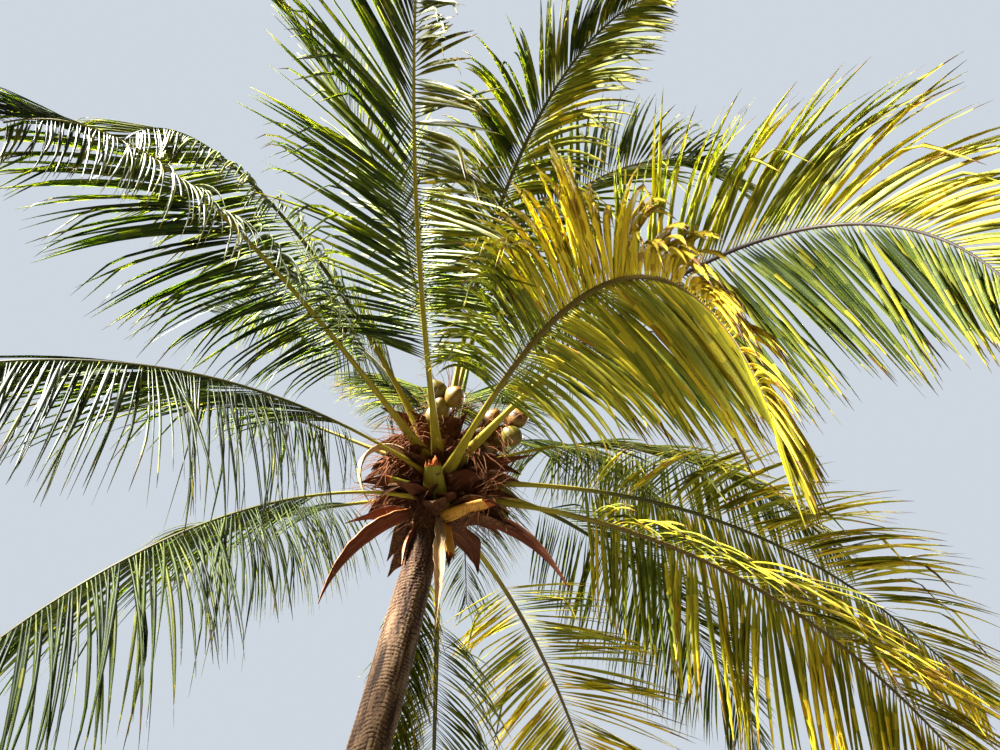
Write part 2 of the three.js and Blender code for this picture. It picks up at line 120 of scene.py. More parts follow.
# %% Put a skin into the scene
def piece(name, sections, finishes, replaces=(), dealt=None, grain=None, marks=None):
    """One mesh object that rides on the palm. dealt gives each face its finish, grain is the
    straightened place of each point, and marks are named numbers on the points for the finishes to read."""
    points, faces, _ = loft(sections)
    mesh = bpy.data.meshes.new(name)
    mesh.vertices.add(len(points))
    mesh.vertices.foreach_set("co", points.astype(np.float32).ravel())
    mesh.loops.add(faces.size)
    mesh.loops.foreach_set("vertex_index", faces.astype(np.int32).ravel())
    mesh.polygons.add(len(faces))
    mesh.polygons.foreach_set("loop_start", np.arange(0, faces.size, 4, dtype=np.int32))
    mesh.polygons.foreach_set("use_smooth", np.ones(len(faces), bool))
    for finish in finishes:
        mesh.materials.append(finish)
    if dealt is not None:
        mesh.polygons.foreach_set("material_index", dealt.astype(np.int32).ravel())
    if grain is not None:
        attribute = mesh.attributes.new("grain", "FLOAT_VECTOR", "POINT")
        places = np.broadcast_to(grain, sections.shape)
        attribute.data.foreach_set("vector", places.astype(np.float32).ravel())
    for title, values in (marks or {}).items():
        attribute = mesh.attributes.new(title, "FLOAT", "POINT")
        numbers = np.broadcast_to(values, sections.shape[:3])
        attribute.data.foreach_set("value", numbers.astype(np.float32).ravel())
    mesh.update(calc_edges=True)
    made = put(name, mesh)
    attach(made, "root")
    if replaces:
        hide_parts(*replaces)
    return made


# %% [markdown]
# ## Finishes
# A finish is a small graph of nodes. Written as nodes it is long to read, so a class wraps a socket and
# lets sums be written as sums: each operator adds the Math node that it means. Colours go through Mix
# nodes, since a Math node would turn them grey.

# %% A socket that can be added and multiplied


class Value:
    """A number that varies over a surface, held by the finish whose nodes make it."""

    def __init__(self, finish, socket):
        self.finish = finish
        self.socket = socket

    def _with(self, operation, other):
        return self.finish.node("ShaderNodeMath", {"operation": operation}, {0: self, 1: other})

    def __add__(self, other):
        return self._with("ADD", other)

    def __sub__(self, other):
        return self._with("SUBTRACT", other)

    def __mul__(self, other):
        return self._with("MULTIPLY", other)


# %% A finish and the nodes it is made of
class Finish:
    """One material: its node graph, with a method for each kind of node that the palm needs."""

    def __init__(self, name, **fixed):
        self.material = bpy.data.materials.new(name)
        self.material.use_nodes = True
        self.tree = self.material.node_tree
        self.shader = self.tree.nodes["Principled BSDF"]
        self.set(**fixed)

    def node(self, kind, settings=None, inputs=None, output=0):
        """Adds a node, sets it up, then sets or links its sockets. Returns one of its outputs as a
        Value."""
        made = self.tree.nodes.new(kind)
        for name, setting in (settings or {}).items():
            setattr(made, name, setting)
        for name, value in (inputs or {}).items():
            self._feed(made.inputs[name], value)
        return Value(self, made.outputs[output])

    def _feed(self, socket, value):
        if isinstance(value, Value):
            self.tree.links.new(value.socket, socket)
        else:
            socket.default_value = value

    def set(self, **values):
        """Sets sockets of the shader, written with underscores for spaces."""
        for name, value in values.items():
            self._feed(self.shader.inputs[name.replace("_", " ")], value)

    def place(self):
        return self.node("ShaderNodeTexCoord", output="Object")

    def mark(self, name, output="Fac"):
        return self.node("ShaderNodeAttribute", {"attribute_name": name}, output=output)

    def noise(self, where, scale, detail, roughness=0.55):
        sockets = {"Vector": where, "Scale": scale, "Detail": detail, "Roughness": roughness}
        return self.node("ShaderNodeTexNoise", None, sockets)

    def streaks(self, where, scale, detail, roughness=0.55):
        """Noise with a scale of its own on each axis."""
        stretched = self.node("ShaderNodeMapping", None, {"Vector": where, "Scale": scale})
        return self.noise(stretched, 1.0, detail, roughness)

    def step(self, value, low, high):
        """0 below low, 1 above high, and a smooth rise between."""
        settings = {"interpolation_type": "SMOOTHSTEP"}
        return self.node("ShaderNodeMapRange", settings, {"Value": value, "From Min": low, "From Max": high})

    def mix(self, share, first, second):
        """The first colour where share is 0, the second where it is 1."""
        paint = [(*c, 1.0) if isinstance(c, tuple) else c for c in (first, second)]
        sockets = {0: share, 6: paint[0], 7: paint[1]}
        return self.node("ShaderNodeMix", {"data_type": "RGBA"}, sockets, output=2)

    def bump(self, height, distance):
        sockets = {"Height": height, "Distance": distance, "Strength": 1.0}
        self.set(Normal=self.node("ShaderNodeBump", None, sockets))


print("helpers ready")

# %% [markdown]
# ## The trunk
# A coconut trunk is a slender brown column. Every leaf that fell left a narrow scar right round it, a
# hand's breadth or less apart, and fine cracks run up between the scars. The relief could be a bump map,
# but the scars show against the light, so they are cut into the mesh: each point's radius is the taper,
# plus the foot's swelling, less the scar that its height falls in.

# %% Trunk line and radius
TRUNK_HEIGHT = 5.35
LEAN_HEIGHT, LEAN_REACH, LEAN_CURVE = 5.9, 1.0, 0.18
SHAFT_RADIUS, SHAFT_TAPER = 0.158, 0.012
NECK_START, NECK_TAPER = 4.2, 0.020
FLARE_RADIUS, FLARE_HEIGHT = 0.140, 0.320


def ease(value, low, high):
    """0 below low, 1 above high, and the cubic 3t^2 - 2t^3 between."""
    t = np.clip((value - low) / (high - low), 0, 1)
    return t * t * (3 - 2 * t)


def lean(height):
    """How far the trunk has leaned at a height: a line that bends back a little, as a share of its full
    reach."""
    share = height / LEAN_HEIGHT
    return LEAN_REACH * ((1 + LEAN_CURVE) * share - LEAN_CURVE * share * share)


def trunk_radius(height):
    """The shaft's even taper, less the narrowing below the crown, plus the foot's exponential swelling."""
    neck = NECK_TAPER * ease(height, NECK_START, TRUNK_HEIGHT)
    flare = FLARE_RADIUS * np.exp(-height / FLARE_HEIGHT)
    return SHAFT_RADIUS - SHAFT_TAPER * height / TRUNK_HEIGHT - neck + flare


def column(radius, angle, height):
    """Points round the leaning axis at a radius, angle and height."""
    return np.stack([lean(height) + radius * np.cos(angle), radius * np.sin(angle), height + 0 * angle], -1)


def waves(rng, angle, height, count, turns, climb):
    """Seamless noise round a column: a sum of random cosines, whole turns round it and any pitch up it."""
    total = np.zeros(np.broadcast(angle, height).shape)
    for _ in range(count):
        around = rng.integers(turns[0], turns[1] + 1)
        total += np.cos(around * angle + rng.normal(0, climb) * height + rng.uniform(0, TAU))
    return total / np.sqrt(count / 2)


print("radius at foot and neck", trunk_radius(np.array([0.0, TRUNK_HEIGHT])).round(3))

# %% Bark relief
TRUNK_RINGS, TRUNK_CORNERS = 930, 96
SCAR_PITCH, SCAR_DEPTH = 0.031, 0.0036
SCAR_SPREAD, LIP_HEIGHT, FAINTEST_SCAR = 0.12, 0.45, 0.35
CRACK_DEPTH, CRACK_FROM = 0.0022, 0.4
LUMP_HEIGHT, ROUGH_HEIGHT, SHAGGY_HEIGHT = 0.0018, 0.0010, 0.0016
SHAGGY_FROM, SHAGGY_FULL = 4.2, 5.1
FOOT_DEEP, FOOT_PLAIN = 0.1, 0.8
WOBBLE_WAVES = [(0.50, 12, (1, 3), 3), (0.55, 9, (0, 0), 6), (0.10, 18, (4, 12), 20)]
GAP_WAVES, CRACK_WAVES = (26, (1, 6), 40), (26, (12, 46), 5)
LUMP_WAVES, ROUGH_WAVES = (16, (2, 9), 9), (30, (10, 47), 160)

rng = seeded(0)
height = np.linspace(0, TRUNK_HEIGHT, TRUNK_RINGS)[:, None]
angle = angles(TRUNK_CORNERS)[None, :]
wobble = sum(size * waves(rng, angle, height, *wave) for size, *wave in WOBBLE_WAVES)
scar_number = height / SCAR_PITCH + wobble
within = scar_number - np.floor(scar_number)
lip = LIP_HEIGHT * ease(within, 0.55, 0.75) * (1 - ease(within, 0.75, 1.0))
scar = np.exp(-(((within - 0.5) / SCAR_SPREAD) ** 2)) - lip
broken = FAINTEST_SCAR + ease(waves(rng, angle, height, *GAP_WAVES), -0.8, 0.8)
cracks = np.maximum(waves(rng, angle, height, *CRACK_WAVES), CRACK_FROM) - CRACK_FROM
lumps = waves(rng, angle, height, *LUMP_WAVES)
rough = waves(rng, angle, height, *ROUGH_WAVES)
shaggy = ease(height, SHAGGY_FROM, SHAGGY_FULL)
deep = 1 + 0.5 * shaggy + 0.5 * (1 - ease(height, FOOT_DEEP, FOOT_PLAIN))
relief = -deep * (SCAR_DEPTH * scar * broken + CRACK_DEPTH * cracks) + LUMP_HEIGHT * lumps
relief = relief + (ROUGH_HEIGHT + SHAGGY_HEIGHT * shaggy) * rough
relief = relief * ease(height, 0.0, 0.02)
trunk_sections = column(trunk_radius(height) + relief, angle, height)
print("bark relief from", round(float(relief.min()), 4), "to", round(float(relief.max()), 4))

# %% [markdown]
# The bark's colour follows its relief. A stored number on each point says how deep it lies, and the finish
# reads it: nearly black in the scars and cracks, which is painted shade in the recesses, warm brown on the
# ridges, and darker with fibre just under the crown.

# %% Bark finish
# The groove colour is painted shade for the bottoms of the scars and cracks.
BARK_SHADED_GROOVE = (0.022, 0.010, 0.004)
BARK_MID = (0.080, 0.042, 0.019)
BARK_RIDGE = (0.150, 0.090, 0.043)
BARK_NECK = (0.042, 0.014, 0.005)


def bark_finish():
    bark = Finish("bark", Roughness=0.88, Specular_IOR_Level=0.2)
    place = bark.place()
    patches = bark.noise(place, 3.2, 4)
    fibres = bark.streaks(place, (60, 60, 9), 4)
    lift = bark.mark("lift") + (fibres - 0.5) * 0.5
    # Painted shade: the deeper a point lies in a scar or crack, the nearer black it is painted.
    colour = bark.mix(bark.step(lift, 0.05, 0.5), BARK_SHADED_GROOVE, BARK_MID)
    colour = bark.mix(bark.step(lift + (patches - 0.5) * 0.8, 0.4, 0.95), colour, BARK_RIDGE)
    neck = bark.mark("neck") * 0.85 * bark.step(fibres, 0.3, 0.7)
    bark.set(Base_Color=bark.mix(neck, colour, BARK_NECK))
    bark.bump(fibres * 0.6 + bark.noise(place, 90, 3) * 0.4, 0.004)
    return bark.material


LEVEL_LIFT, LIFT_SPAN = 0.62, 1.6
# lift is each point's depth, which the painted shade of the scars and cracks is read from.
lift = np.clip(LEVEL_LIFT + relief / (LIFT_SPAN * SCAR_DEPTH), 0, 1)
bark_marks = {"lift": lift, "neck": shaggy}
trunk = piece("palm_trunk", trunk_sections[None], [bark_finish()], ["trunk"], marks=bark_marks)
print("trunk", len(trunk.data.polygons), "faces")

# %% [markdown]
# ## How a limb grows
# Every limb leaves the heart, and its own weight bends it: its elevation falls from a launch angle to a tip
# angle by a power of the way along. Walking that line in equal steps gives its place and its three axes at
# each station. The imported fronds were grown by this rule, so ribs grown from the same numbers follow the
# same lines as theirs.

# %% Walk a limb
SEAT_HEIGHT, SEAT_RADIUS, LIMB_ROOT = 5.85, 0.12, 0.12
STEPS = 60
SWEEP_POWER = 1.5


def turned(first, second, angle):
    """Both axes turned by an angle about the third: first goes toward second."""
    c, s = np.cos(angle)[..., None], np.sin(angle)[..., None]
    return first * c + second * s, second * c - first * s


def unit(vectors):
    return vectors / np.linalg.norm(vectors, axis=-1, keepdims=True)


def placed(place, across, over, x, y):
    """Points at x along across and y along over from each place, for sections of any number of corners."""
    return place[:, None] + across[:, None] * x[..., None] + over[:, None] * y[..., None]


def walk(azimuth, launch, tip, length, seat, bend=1.4, sweep=0.0, roll=0.0, twist=0.0):
    """A limb's stations: place by summing half the old and half the new heading each step, and the axes
    along it, over it and across it."""
    share = np.linspace(0, 1, STEPS + 1)
    rise = np.radians(launch + (tip - launch) * share**bend)
    way = np.radians(azimuth + sweep * share**SWEEP_POWER)
    along = np.stack([np.cos(rise) * np.cos(way), np.cos(rise) * np.sin(way), np.sin(rise)], -1)
    over = np.stack([-np.sin(rise) * np.cos(way), -np.sin(rise) * np.sin(way), np.cos(rise)], -1)
    over, across = turned(over, np.cross(along, over), np.radians(roll + twist * share))
    start = [LEAN_REACH + SEAT_RADIUS * np.cos(way[0]), SEAT_RADIUS * np.sin(way[0]), SEAT_HEIGHT + seat]
    walked = np.cumsum((along[1:] + along[:-1]) / 2, 0) * length / STEPS
    place = np.array(start) + np.concatenate([np.zeros((1, 3)), walked])
    return {"share": share, "length": length, "place": place, "along": along, "over": over, "across": across}


def stations(limb, shares):
    """Place, along, over and across at any shares of a limb, blended between its stations. A share below
    0 lies straight back into the heart."""
    inside = np.clip(shares, 0, 1)
    found = []
    for axis in ("place", "along", "over", "across"):
        columns = [np.interp(inside, limb["share"], limb[axis][:, i]) for i in range(3)]
        found.append(np.stack(columns, -1))
    place, along, over, across = found
    along, over, across = unit(along), unit(over), unit(across)
    place = place + along * ((shares - inside) * limb["length"])[..., None]
    return place, along, over, across


print("limbs are walked in", STEPS, "steps")

# %% [markdown]
# The fronds are listed from the oldest and lowest to the youngest: azimuth, launch, tip, bend power, sweep,
# length, longest leaflet, the leaflets' rise, their limpness, roll, twist and seat, as in the palm's own
# plan, and last by how much the leaflets of the left side rise toward the tip. A second table is only for
# looks: the tone of the left leaflets near the foot of the blade and farther out, the same of the right
# ones, what a leaflet's end adds to it, how streaked and how dry the frond is, the share of leaflets that
# are snapped, and the widest leaflet's width. The tones are partly the leaflets' own colour and partly
# painted shade: fronds and sides that lie in shade get low tones, down to the darkest greens.
#
# Most numbers of the first table weren't chosen by hand. Separate fitting programs compared the fronds with
# the photograph, and their results were rounded. The numbers of the second table were chosen one by one.

# %% The fronds' plan
FRONDS = [
    (92, -22, -65, 0.9, 0, 4.3, 1.20, -20, 1.5, 3, 0, -0.25, 0),
    (105, -19, -77, 0.9, 0, 2.6, 0.60, -29, 2.1, 4, 0, -0.16, 0),
    (65, 3, -71, 1.2, -4, 5.0, 1.30, 6, 0.3, 0, -7, -0.20, 0),
    (222, -17, -73, 0.9, -5, 4.45, 1.30, -22, 0.7, -33, 10, -0.19, 0),
    (358, -8, -72, 1.3, 7, 4.9, 1.30, -30, 0.9, -6, -32, -0.12, 0),
    (291, -4, -90, 1.7, -4, 5.3, 1.30, 9, 2.0, -11, -43, 0.00, 0),
    (8, 6, -62, 1.5, 2, 5.0, 1.30, 7, 0.7, -1, -21, 0.06, 0),
    (239, -13, -59, 1.4, 9, 4.75, 1.30, -22, 0.6, -56, 32, 0.05, 0),
    (311, 12, -87, 1.9, -5, 5.3, 1.40, 9, 1.1, -29, -48, 0.10, 0),
    (89, 56, -40, 1.4, 0, 4.9, 1.15, 0, 1.4, 4, 5, 0.06, 0),
    (238, 14, -73, 1.6, 35, 5.0, 1.20, -30, 1.3, 5, -20, 0.17, 80),
    (268, 6, -35, 1.3, 13, 4.9, 1.20, -6, 0.4, 9, -75, 0.15, 0),
    (42, 20, -60, 1.3, 0, 4.9, 1.25, -30, 0.6, -15, 20, 0.10, 0),
    (25, 40, -50, 1.4, -8, 5.2, 1.15, -30, 0.5, 11, -5, 0.18, 0),
    (141, 26, 3, 1.0, 4, 4.95, 1.25, -12, 1.5, -7, 0, -0.08, 0),
    (230, 45, -88, 1.7, 31, 4.7, 1.10, -45, 1.4, 0, 0, 0.29, 100),
    (45, 52, -35, 1.4, 0, 4.9, 1.15, -17, 0.9, 16, 18, 0.26, 0),
    (112, 74, 10, 1.4, 0, 4.8, 1.15, 0, 0.8, 0, 0, 0.29, 0),
    (285, 60, -64, 1.5, 18, 5.1, 1.10, 43, 2.0, 12, -29, 0.31, 0),
    (297, 75, -82, 1.5, 50, 5.0, 1.10, 28, 0.9, 11, 16, 0.40, 0),
    (247, 74, -36, 1.6, 0, 5.0, 1.10, 11, 0.2, 5, -79, 0.40, 0),
    (165, 72, 5, 1.4, 5, 4.6, 1.20, 15, 0.7, 0, 0, 0.38, 0),
    (15, 70, -5, 1.4, 0, 4.6, 1.20, 15, 0.7, 0, 0, 0.40, 0),
    (80, 74, -10, 1.4, 0, 4.7, 1.20, 10, 0.8, 0, 0, 0.45, 0),
    (178, 29, 16, 1.4, -7, 4.9, 0.95, -10, 0.8, -9, -40, 0.18, 0),
]
# Low tones in this table are painted shade for fronds and sides that lie in shade.
AGEING = [
    (3.0, 3.5, 3.0, 3.5, 1.0, 0.9, 0.4, 0.3, 0.040),
    (3.5, 4.0, 3.5, 4.0, 1.0, 0.9, 0.4, 0.3, 0.038),
    (5.5, 6.6, 5.6, 6.8, 0.8, 1.2, 0.2, 0.1, 0.052),
    (0.7, 1.1, 0.8, 1.2, 0.5, 0.8, 0.2, 0.2, 0.031),
    (4.4, 6.0, 4.6, 6.0, 0.8, 1.6, 0.3, 0.1, 0.052),
    (3.4, 8.3, 5.0, 6.0, 0.5, 0.9, 0.1, 0.2, 0.046),
    (4.4, 5.6, 4.0, 5.4, 1.2, 1.5, 0.2, 0.1, 0.050),
    (0.5, 0.9, 0.5, 1.1, 0.5, 0.8, 0.2, 0.3, 0.031),
    (2.6, 5.2, 0.6, 2.0, 0.7, 1.6, 0.2, 0.1, 0.040),
    (2.4, 2.6, 2.4, 2.6, 0.7, 0.8, 0.2, 0.1, 0.036),
    (0.0, 0.3, 1.8, 2.8, 0.6, 0.8, 0.2, 0.5, 0.031),
    (1.2, 1.4, 3.0, 4.4, 0.8, 1.0, 0.2, 0.5, 0.034),
    (1.4, 1.8, 1.4, 1.8, 0.7, 0.8, 0.3, 0.1, 0.042),
    (2.6, 3.4, 2.6, 3.4, 1.0, 0.9, 0.2, 0.1, 0.044),
    (1.8, 2.0, 1.8, 2.0, 0.6, 0.7, 0.1, 0.1, 0.036),
    (1.8, 2.6, 2.0, 2.8, 0.6, 0.7, 0.2, 0.4, 0.034),
    (2.2, 2.4, 2.2, 2.4, 0.7, 0.8, 0.1, 0.1, 0.036),
    (2.0, 2.2, 2.0, 2.2, 0.6, 0.7, 0.1, 0.1, 0.036),
    (2.4, 3.0, 3.0, 4.4, 0.6, 1.1, 0.1, 0.1, 0.044),
    (1.4, 2.0, 1.8, 2.6, 0.6, 1.1, 0.1, 0.1, 0.042),
    (1.8, 2.4, 2.0, 2.6, 0.8, 0.8, 0.1, 0.2, 0.036),
    (1.8, 2.0, 1.8, 2.0, 0.6, 0.6, 0.1, 0.0, 0.036),
    (1.8, 2.0, 1.8, 2.0, 0.6, 0.6, 0.1, 0.0, 0.036),
    (1.6, 1.8, 1.6, 1.8, 0.6, 0.6, 0.1, 0.0, 0.036),
    (1.2, 1.6, 1.2, 1.6, 0.5, 0.7, 0.2, 0.2, 0.034),
]


def frond_limb(row):
    azimuth, launch, tip, bend, sweep, length, _, _, _, roll, twist, seat, _ = row
    return walk(azimuth, launch, tip, length, seat, bend, sweep, roll, twist)


frond_limbs = [frond_limb(row) for row in FRONDS]
print(len(frond_limbs), "fronds")

# %% [markdown]
# ## Ribs
# A frond's stalk is broader than a hand where it clasps the heart, flat or hollow above and round below. It
# narrows to the rib that carries the leaflets, which is slimmer here than in the solids, and ends as thin
# as a finger. It is smooth and waxy, yellow-green with brown flecks, so its finish has streaks that follow
# it. They are computed in the grain, which is each point's place as if the stalk were straight.

# %% Sections of a stalk
BARE_SHARE = 0.25
RIB_BASE, RIB_MID, RIB_TIP = 0.180, 0.054, 0.011
RIB_FLATNESS, RIB_HOLLOW, RIB_CORNERS = 0.62, 0.28, 16
NARROWED = 0.15
SQUARENESS, TOP_RISE, BELLY = 0.8, 0.72, 0.95


def rib_width(share):
    """Narrows by a square root from the base to the middle width, then evenly to the tip."""
    early = RIB_BASE + (RIB_MID - RIB_BASE) * np.sqrt(np.clip(share / NARROWED, 0, 1))
    late = RIB_MID + (RIB_TIP - RIB_MID) * (share - NARROWED) / (1 - NARROWED)
    return np.where(share < NARROWED, early, late)


def stalk_sections(limb, shares, width, flatness, hollow):
    """Sections [ring, corner]: a half ellipse below, and above it a nearly flat top that dips by hollow.
    Returns the sections and the grain, which is the corner's own x and y and the length walked."""
    place, _, over, across = stations(limb, shares)
    angle = angles(RIB_CORNERS)
    x = np.sign(np.cos(angle)) * np.abs(np.cos(angle)) ** SQUARENESS
    above = np.clip(np.sin(angle), 0, 1)
    y = np.where(np.sin(angle) > 0, TOP_RISE * above**0.5 - hollow * above**2, BELLY * np.sin(angle))
    x, y = width[:, None] / 2 * x, width[:, None] / 2 * flatness * y
    walked = (shares * limb["length"])[:, None]
    return placed(place, across, over, x, y), np.stack(np.broadcast_arrays(x, y, walked), -1)


print("rib width at the blade's foot", round(float(rib_width(np.array(BARE_SHARE))), 3))

# %% Rib finish
STALK_OLIVE = (0.270, 0.215, 0.014)
STALK_GREEN = (0.060, 0.055, 0.008)
STALK_PLUM = (0.024, 0.012, 0.005)
STALK_BROWN = (0.110, 0.072, 0.012)
FLECK_BROWN = (0.110, 0.050, 0.020)
SHEATH_BROWN = (0.120, 0.060, 0.028)


def rib_finish(name, stalk, rib):
    """Waxy stalk: one colour at the bare foot and another along the blade, with streaks, flecks and a
    brown base."""
    wax = Finish(name, Roughness=0.52, Specular_IOR_Level=0.15)
    grain = wax.mark("grain", "Vector")
    share = wax.mark("share")
    streaks = wax.streaks(grain, (90, 90, 3), 3)
    flecks = wax.streaks(grain, (45, 45, 14), 4, 0.7)
    colour = wax.mix(wax.step(share + (streaks - 0.5) * 0.1, 0.16, 0.34), stalk, rib)
    colour = wax.mix(wax.step(streaks, 0.45, 0.75) * 0.45, colour, STALK_GREEN)
    colour = wax.mix(wax.step(flecks, 0.60, 0.72) * 0.75, colour, FLECK_BROWN)
    base = wax.step(share * -1 + (flecks - 0.5) * 0.05, -0.055, -0.01)
    wax.set(Base_Color=wax.mix(base * 0.8, colour, SHEATH_BROWN))
    wax.bump(streaks, 0.0025)
    return wax.material


olive_rib = rib_finish("olive_rib", STALK_OLIVE, STALK_OLIVE)
green_rib = rib_finish("green_rib", STALK_OLIVE, STALK_GREEN)
plum_rib = rib_finish("plum_rib", STALK_OLIVE, STALK_PLUM)
brown_rib = rib_finish("brown_rib", STALK_OLIVE, STALK_BROWN)
RIB_FINISHES = {3: brown_rib, 5: brown_rib, 6: brown_rib, 9: plum_rib, 11: olive_rib, 12: olive_rib}
print("rib finishes", [m.name for m in (olive_rib, green_rib, brown_rib, plum_rib)])

# %% One rib for each frond
RIB_RINGS, CROWDING = 90, 1.3


def rib_shares(limb):
    """Rings closer together near the broad base: the share is a power of the way along, from inside the
    heart."""
    back = -LIMB_ROOT / limb["length"]
    return np.concatenate([[back], np.linspace(0, 1, RIB_RINGS) ** CROWDING])


for number, limb in enumerate(frond_limbs, 1):
    shares = rib_shares(limb)
    width = rib_width(np.clip(shares, 0, 1))
    sections, grain = stalk_sections(limb, shares, width, RIB_FLATNESS, RIB_HOLLOW)
    finish = RIB_FINISHES.get(number, green_rib)
    piece(f"frond_{number:02d}_rib", sections[None], [finish], grain=grain[None],
          marks={"share": shares[None, :, None]})
print("ribs made:", len(frond_limbs))

# %% [markdown]
# ## Leaflets
# Each side of the blade carries about a hundred and twenty leaflets. One is a lance blade folded along its
# middle like a roof, leaving the rib forward and outward and sagging toward its tip, and some ends are
# snapped and hang straight down. Particles or instances would be lighter, but the export drops them, so the
# leaflets of a frond are one joined mesh from arrays. Their colours are plain paints dealt out along each
# leaflet: green, then yellower, then brown. Light that strikes a thin leaf glows through it on the other
# side, which a little subsurface scattering gives.

# %% Leaf paints, from painted deep shade through green and gold to dead brown
# The two darkest greens are painted shade, far darker than a living leaf: they go to fronds and sides in
# shade.
PAINTS = {
    "leaf_deep_shade": (0.012, 0.018, 0.004),
    "leaf_shaded_green": (0.025, 0.037, 0.006),
    "leaf_green": (0.046, 0.065, 0.008),
    "leaf_olive": (0.078, 0.097, 0.010),
    "leaf_pale_olive": (0.125, 0.135, 0.012),
    "leaf_lime": (0.195, 0.190, 0.014),
    "leaf_pale_lime": (0.290, 0.255, 0.016),
    "leaf_yellow": (0.500, 0.400, 0.020),
    "leaf_gold": (0.620, 0.430, 0.020),
    "leaf_amber": (0.350, 0.190, 0.016),
    "leaf_rust": (0.170, 0.080, 0.015),
    "leaf_brown": (0.075, 0.036, 0.013),
}
GLOW = {"Subsurface_Weight": 0.22, "Subsurface_Scale": 0.003, "Subsurface_Radius": (0.85, 1.0, 0.1)}
leaf_paints = [
    Finish(name, Base_Color=(*colour, 1), Roughness=0.50, Specular_IOR_Level=0.11, **GLOW).material
    for name, colour in PAINTS.items()
]
GOLD, BROWN = list(PAINTS).index("leaf_gold"), len(PAINTS) - 1
print("leaf paints", list(PAINTS))

# %% Shape of a leaflet
PAIRS = 122
LEAFLET_STOPS = np.array([0, 0.05, 0.13, 0.24, 0.36, 0.48, 0.60, 0.71, 0.81, 0.91, 1.0])
LEAFLET_TRIANGLES = 8 * (len(LEAFLET_STOPS) - 1) + 4
LEAFLET_THICKNESS, THINNEST = 0.0016, 0.0008
FOLD = np.radians(30)
LOUVRE, LOUVRE_SPREAD, END_TURN = np.radians(34), np.radians(12), np.radians(38)
STIFFENING = 0.8
FOOT_REACH, OPENED, CLOSING, TIP_REACH, CLOSING_POWER = 0.62, 0.28, 0.45, 0.28, 1.5
FOOT_ANGLE, TIP_ANGLE, ANGLE_POWER = 72, 28, 1.3
SNAP_FROM, SNAP_TO, SNAP_LENGTH, SNAP_PULL = 0.50, 0.85, 0.12, 2.6


def leaflet_reach(share):
    """Length along the blade as a share of the longest: it opens to full, then closes toward the tip."""
    opening = FOOT_REACH + (1 - FOOT_REACH) * np.clip(share / OPENED, 0, 1)
    closed = np.clip((share - CLOSING) / (1 - CLOSING), 0, 1) ** CLOSING_POWER
    return opening * (1 - (1 - TIP_REACH) * closed)


def leaflet_outline(way):
    """Half width along a leaflet as a share of the widest: narrow foot, widest at a third, long thin
    tip."""
    return (0.30 + 0.70 * ease(way, 0, 0.26)) * (1 - way**2.4) ** 0.85


def drift(rng, count, reach):
    """Slow random wander along the blade: white noise smoothed over reach neighbours, with unit spread."""
    window = np.hanning(2 * reach + 1)
    smooth = np.convolve(rng.normal(size=count + 2 * reach), window, "valid")
    return smooth / np.sqrt((window**2).sum())


print("a leaflet has", LEAFLET_TRIANGLES, "triangles")

# %% Grow one side of a blade


def leaflet_side(limb, row, side, ageing, rng):
    """All leaflets of one side as sections [leaflet, stop, corner]. Each starts at the rib, turned
    outward by the blade's forward angle and its rise, and its heading gains a downward pull that grows
    along it. Where a frond has lift, its left leaflets rise by that much more and stiffen with the
    square of the way to the tip."""
    _, _, _, _, _, _, longest, rise, limp, _, _, _, lift = row
    snapping, widest = ageing[7:]
    share = (np.arange(PAIRS) + 0.5 + rng.uniform(-0.3, 0.3, PAIRS)) / PAIRS
    on_rib = BARE_SHARE + (1 - BARE_SHARE) * share
    place, along, over, across = stations(limb, on_rib)
    length = longest * leaflet_reach(share) * (1 + 0.05 * rng.normal(size=PAIRS)).clip(0.8, 1.1)
    forward = FOOT_ANGLE - (FOOT_ANGLE - TIP_ANGLE) * share**ANGLE_POWER
    forward = np.radians(forward + 4 * drift(rng, PAIRS, 4) + rng.normal(0, 2, PAIRS))[:, None]
    lifting = share**2 * (side > 0)
    lifted = np.radians(rise + lift * lifting + 5 * drift(rng, PAIRS, 5) + rng.normal(0, 3, PAIRS))[:, None]
    aside = np.cos(lifted) * side * across + np.sin(lifted) * over
    start = along * np.cos(forward) + np.sin(forward) * aside
    snapped = rng.uniform(size=PAIRS) < snapping
    snap = rng.uniform(SNAP_FROM, SNAP_TO, PAIRS)[:, None]
    pull = limp * (1 - STIFFENING * lifting * (lift > 0)) * (1 + 0.15 * rng.normal(size=PAIRS))
    pull = pull[:, None] * LEAFLET_STOPS**1.3
    pull = pull + (SNAP_PULL * snapped)[:, None] * ease(LEAFLET_STOPS[None], snap, snap + SNAP_LENGTH)
    heading = start[:, None] * np.ones((1, len(LEAFLET_STOPS), 1))
    heading[..., 2] -= pull
    heading = unit(heading)
    steps = (heading[:, 1:] + heading[:, :-1]) / 2 * np.diff(LEAFLET_STOPS)[:, None]
    spine = np.concatenate([np.zeros((PAIRS, 1, 3)), np.cumsum(steps, 1)], 1) * length[:, None, None]
    foot = place + across * (side * 0.42 * rib_width(on_rib))[:, None]
    front = unit(along[:, None] - heading * np.einsum("ni,nsi->ns", along, heading)[..., None])
    top = np.cross(heading, front) * side
    louvre = (LOUVRE + LOUVRE_SPREAD * rng.normal(size=PAIRS))[:, None]
    end_turn = (END_TURN * rng.normal(size=PAIRS))[:, None]
    top, front = turned(top, front, -(louvre * (1 - 0.6 * LEAFLET_STOPS) + end_turn * LEAFLET_STOPS))
    half = widest / 2 * (0.45 + 0.55 * leaflet_reach(share))[:, None] * leaflet_outline(LEAFLET_STOPS)
    half = np.maximum(half, THINNEST)[..., None]
    deep = LEAFLET_THICKNESS * (1.4 - LEAFLET_STOPS)[None, :, None]
    ridge = foot[:, None] + spine
    outward, down = front * half * np.cos(FOLD), top * half * np.sin(FOLD)
    left, right = ridge - outward - down, ridge + outward - down
    return np.stack([left, ridge - top * deep, right, ridge], 2), share


print("sides are grown", PAIRS, "leaflets at a time")

# %% Deal the paints
STREAKED, FLECKED, BROWNED = 0.20, 0.07, 0.15


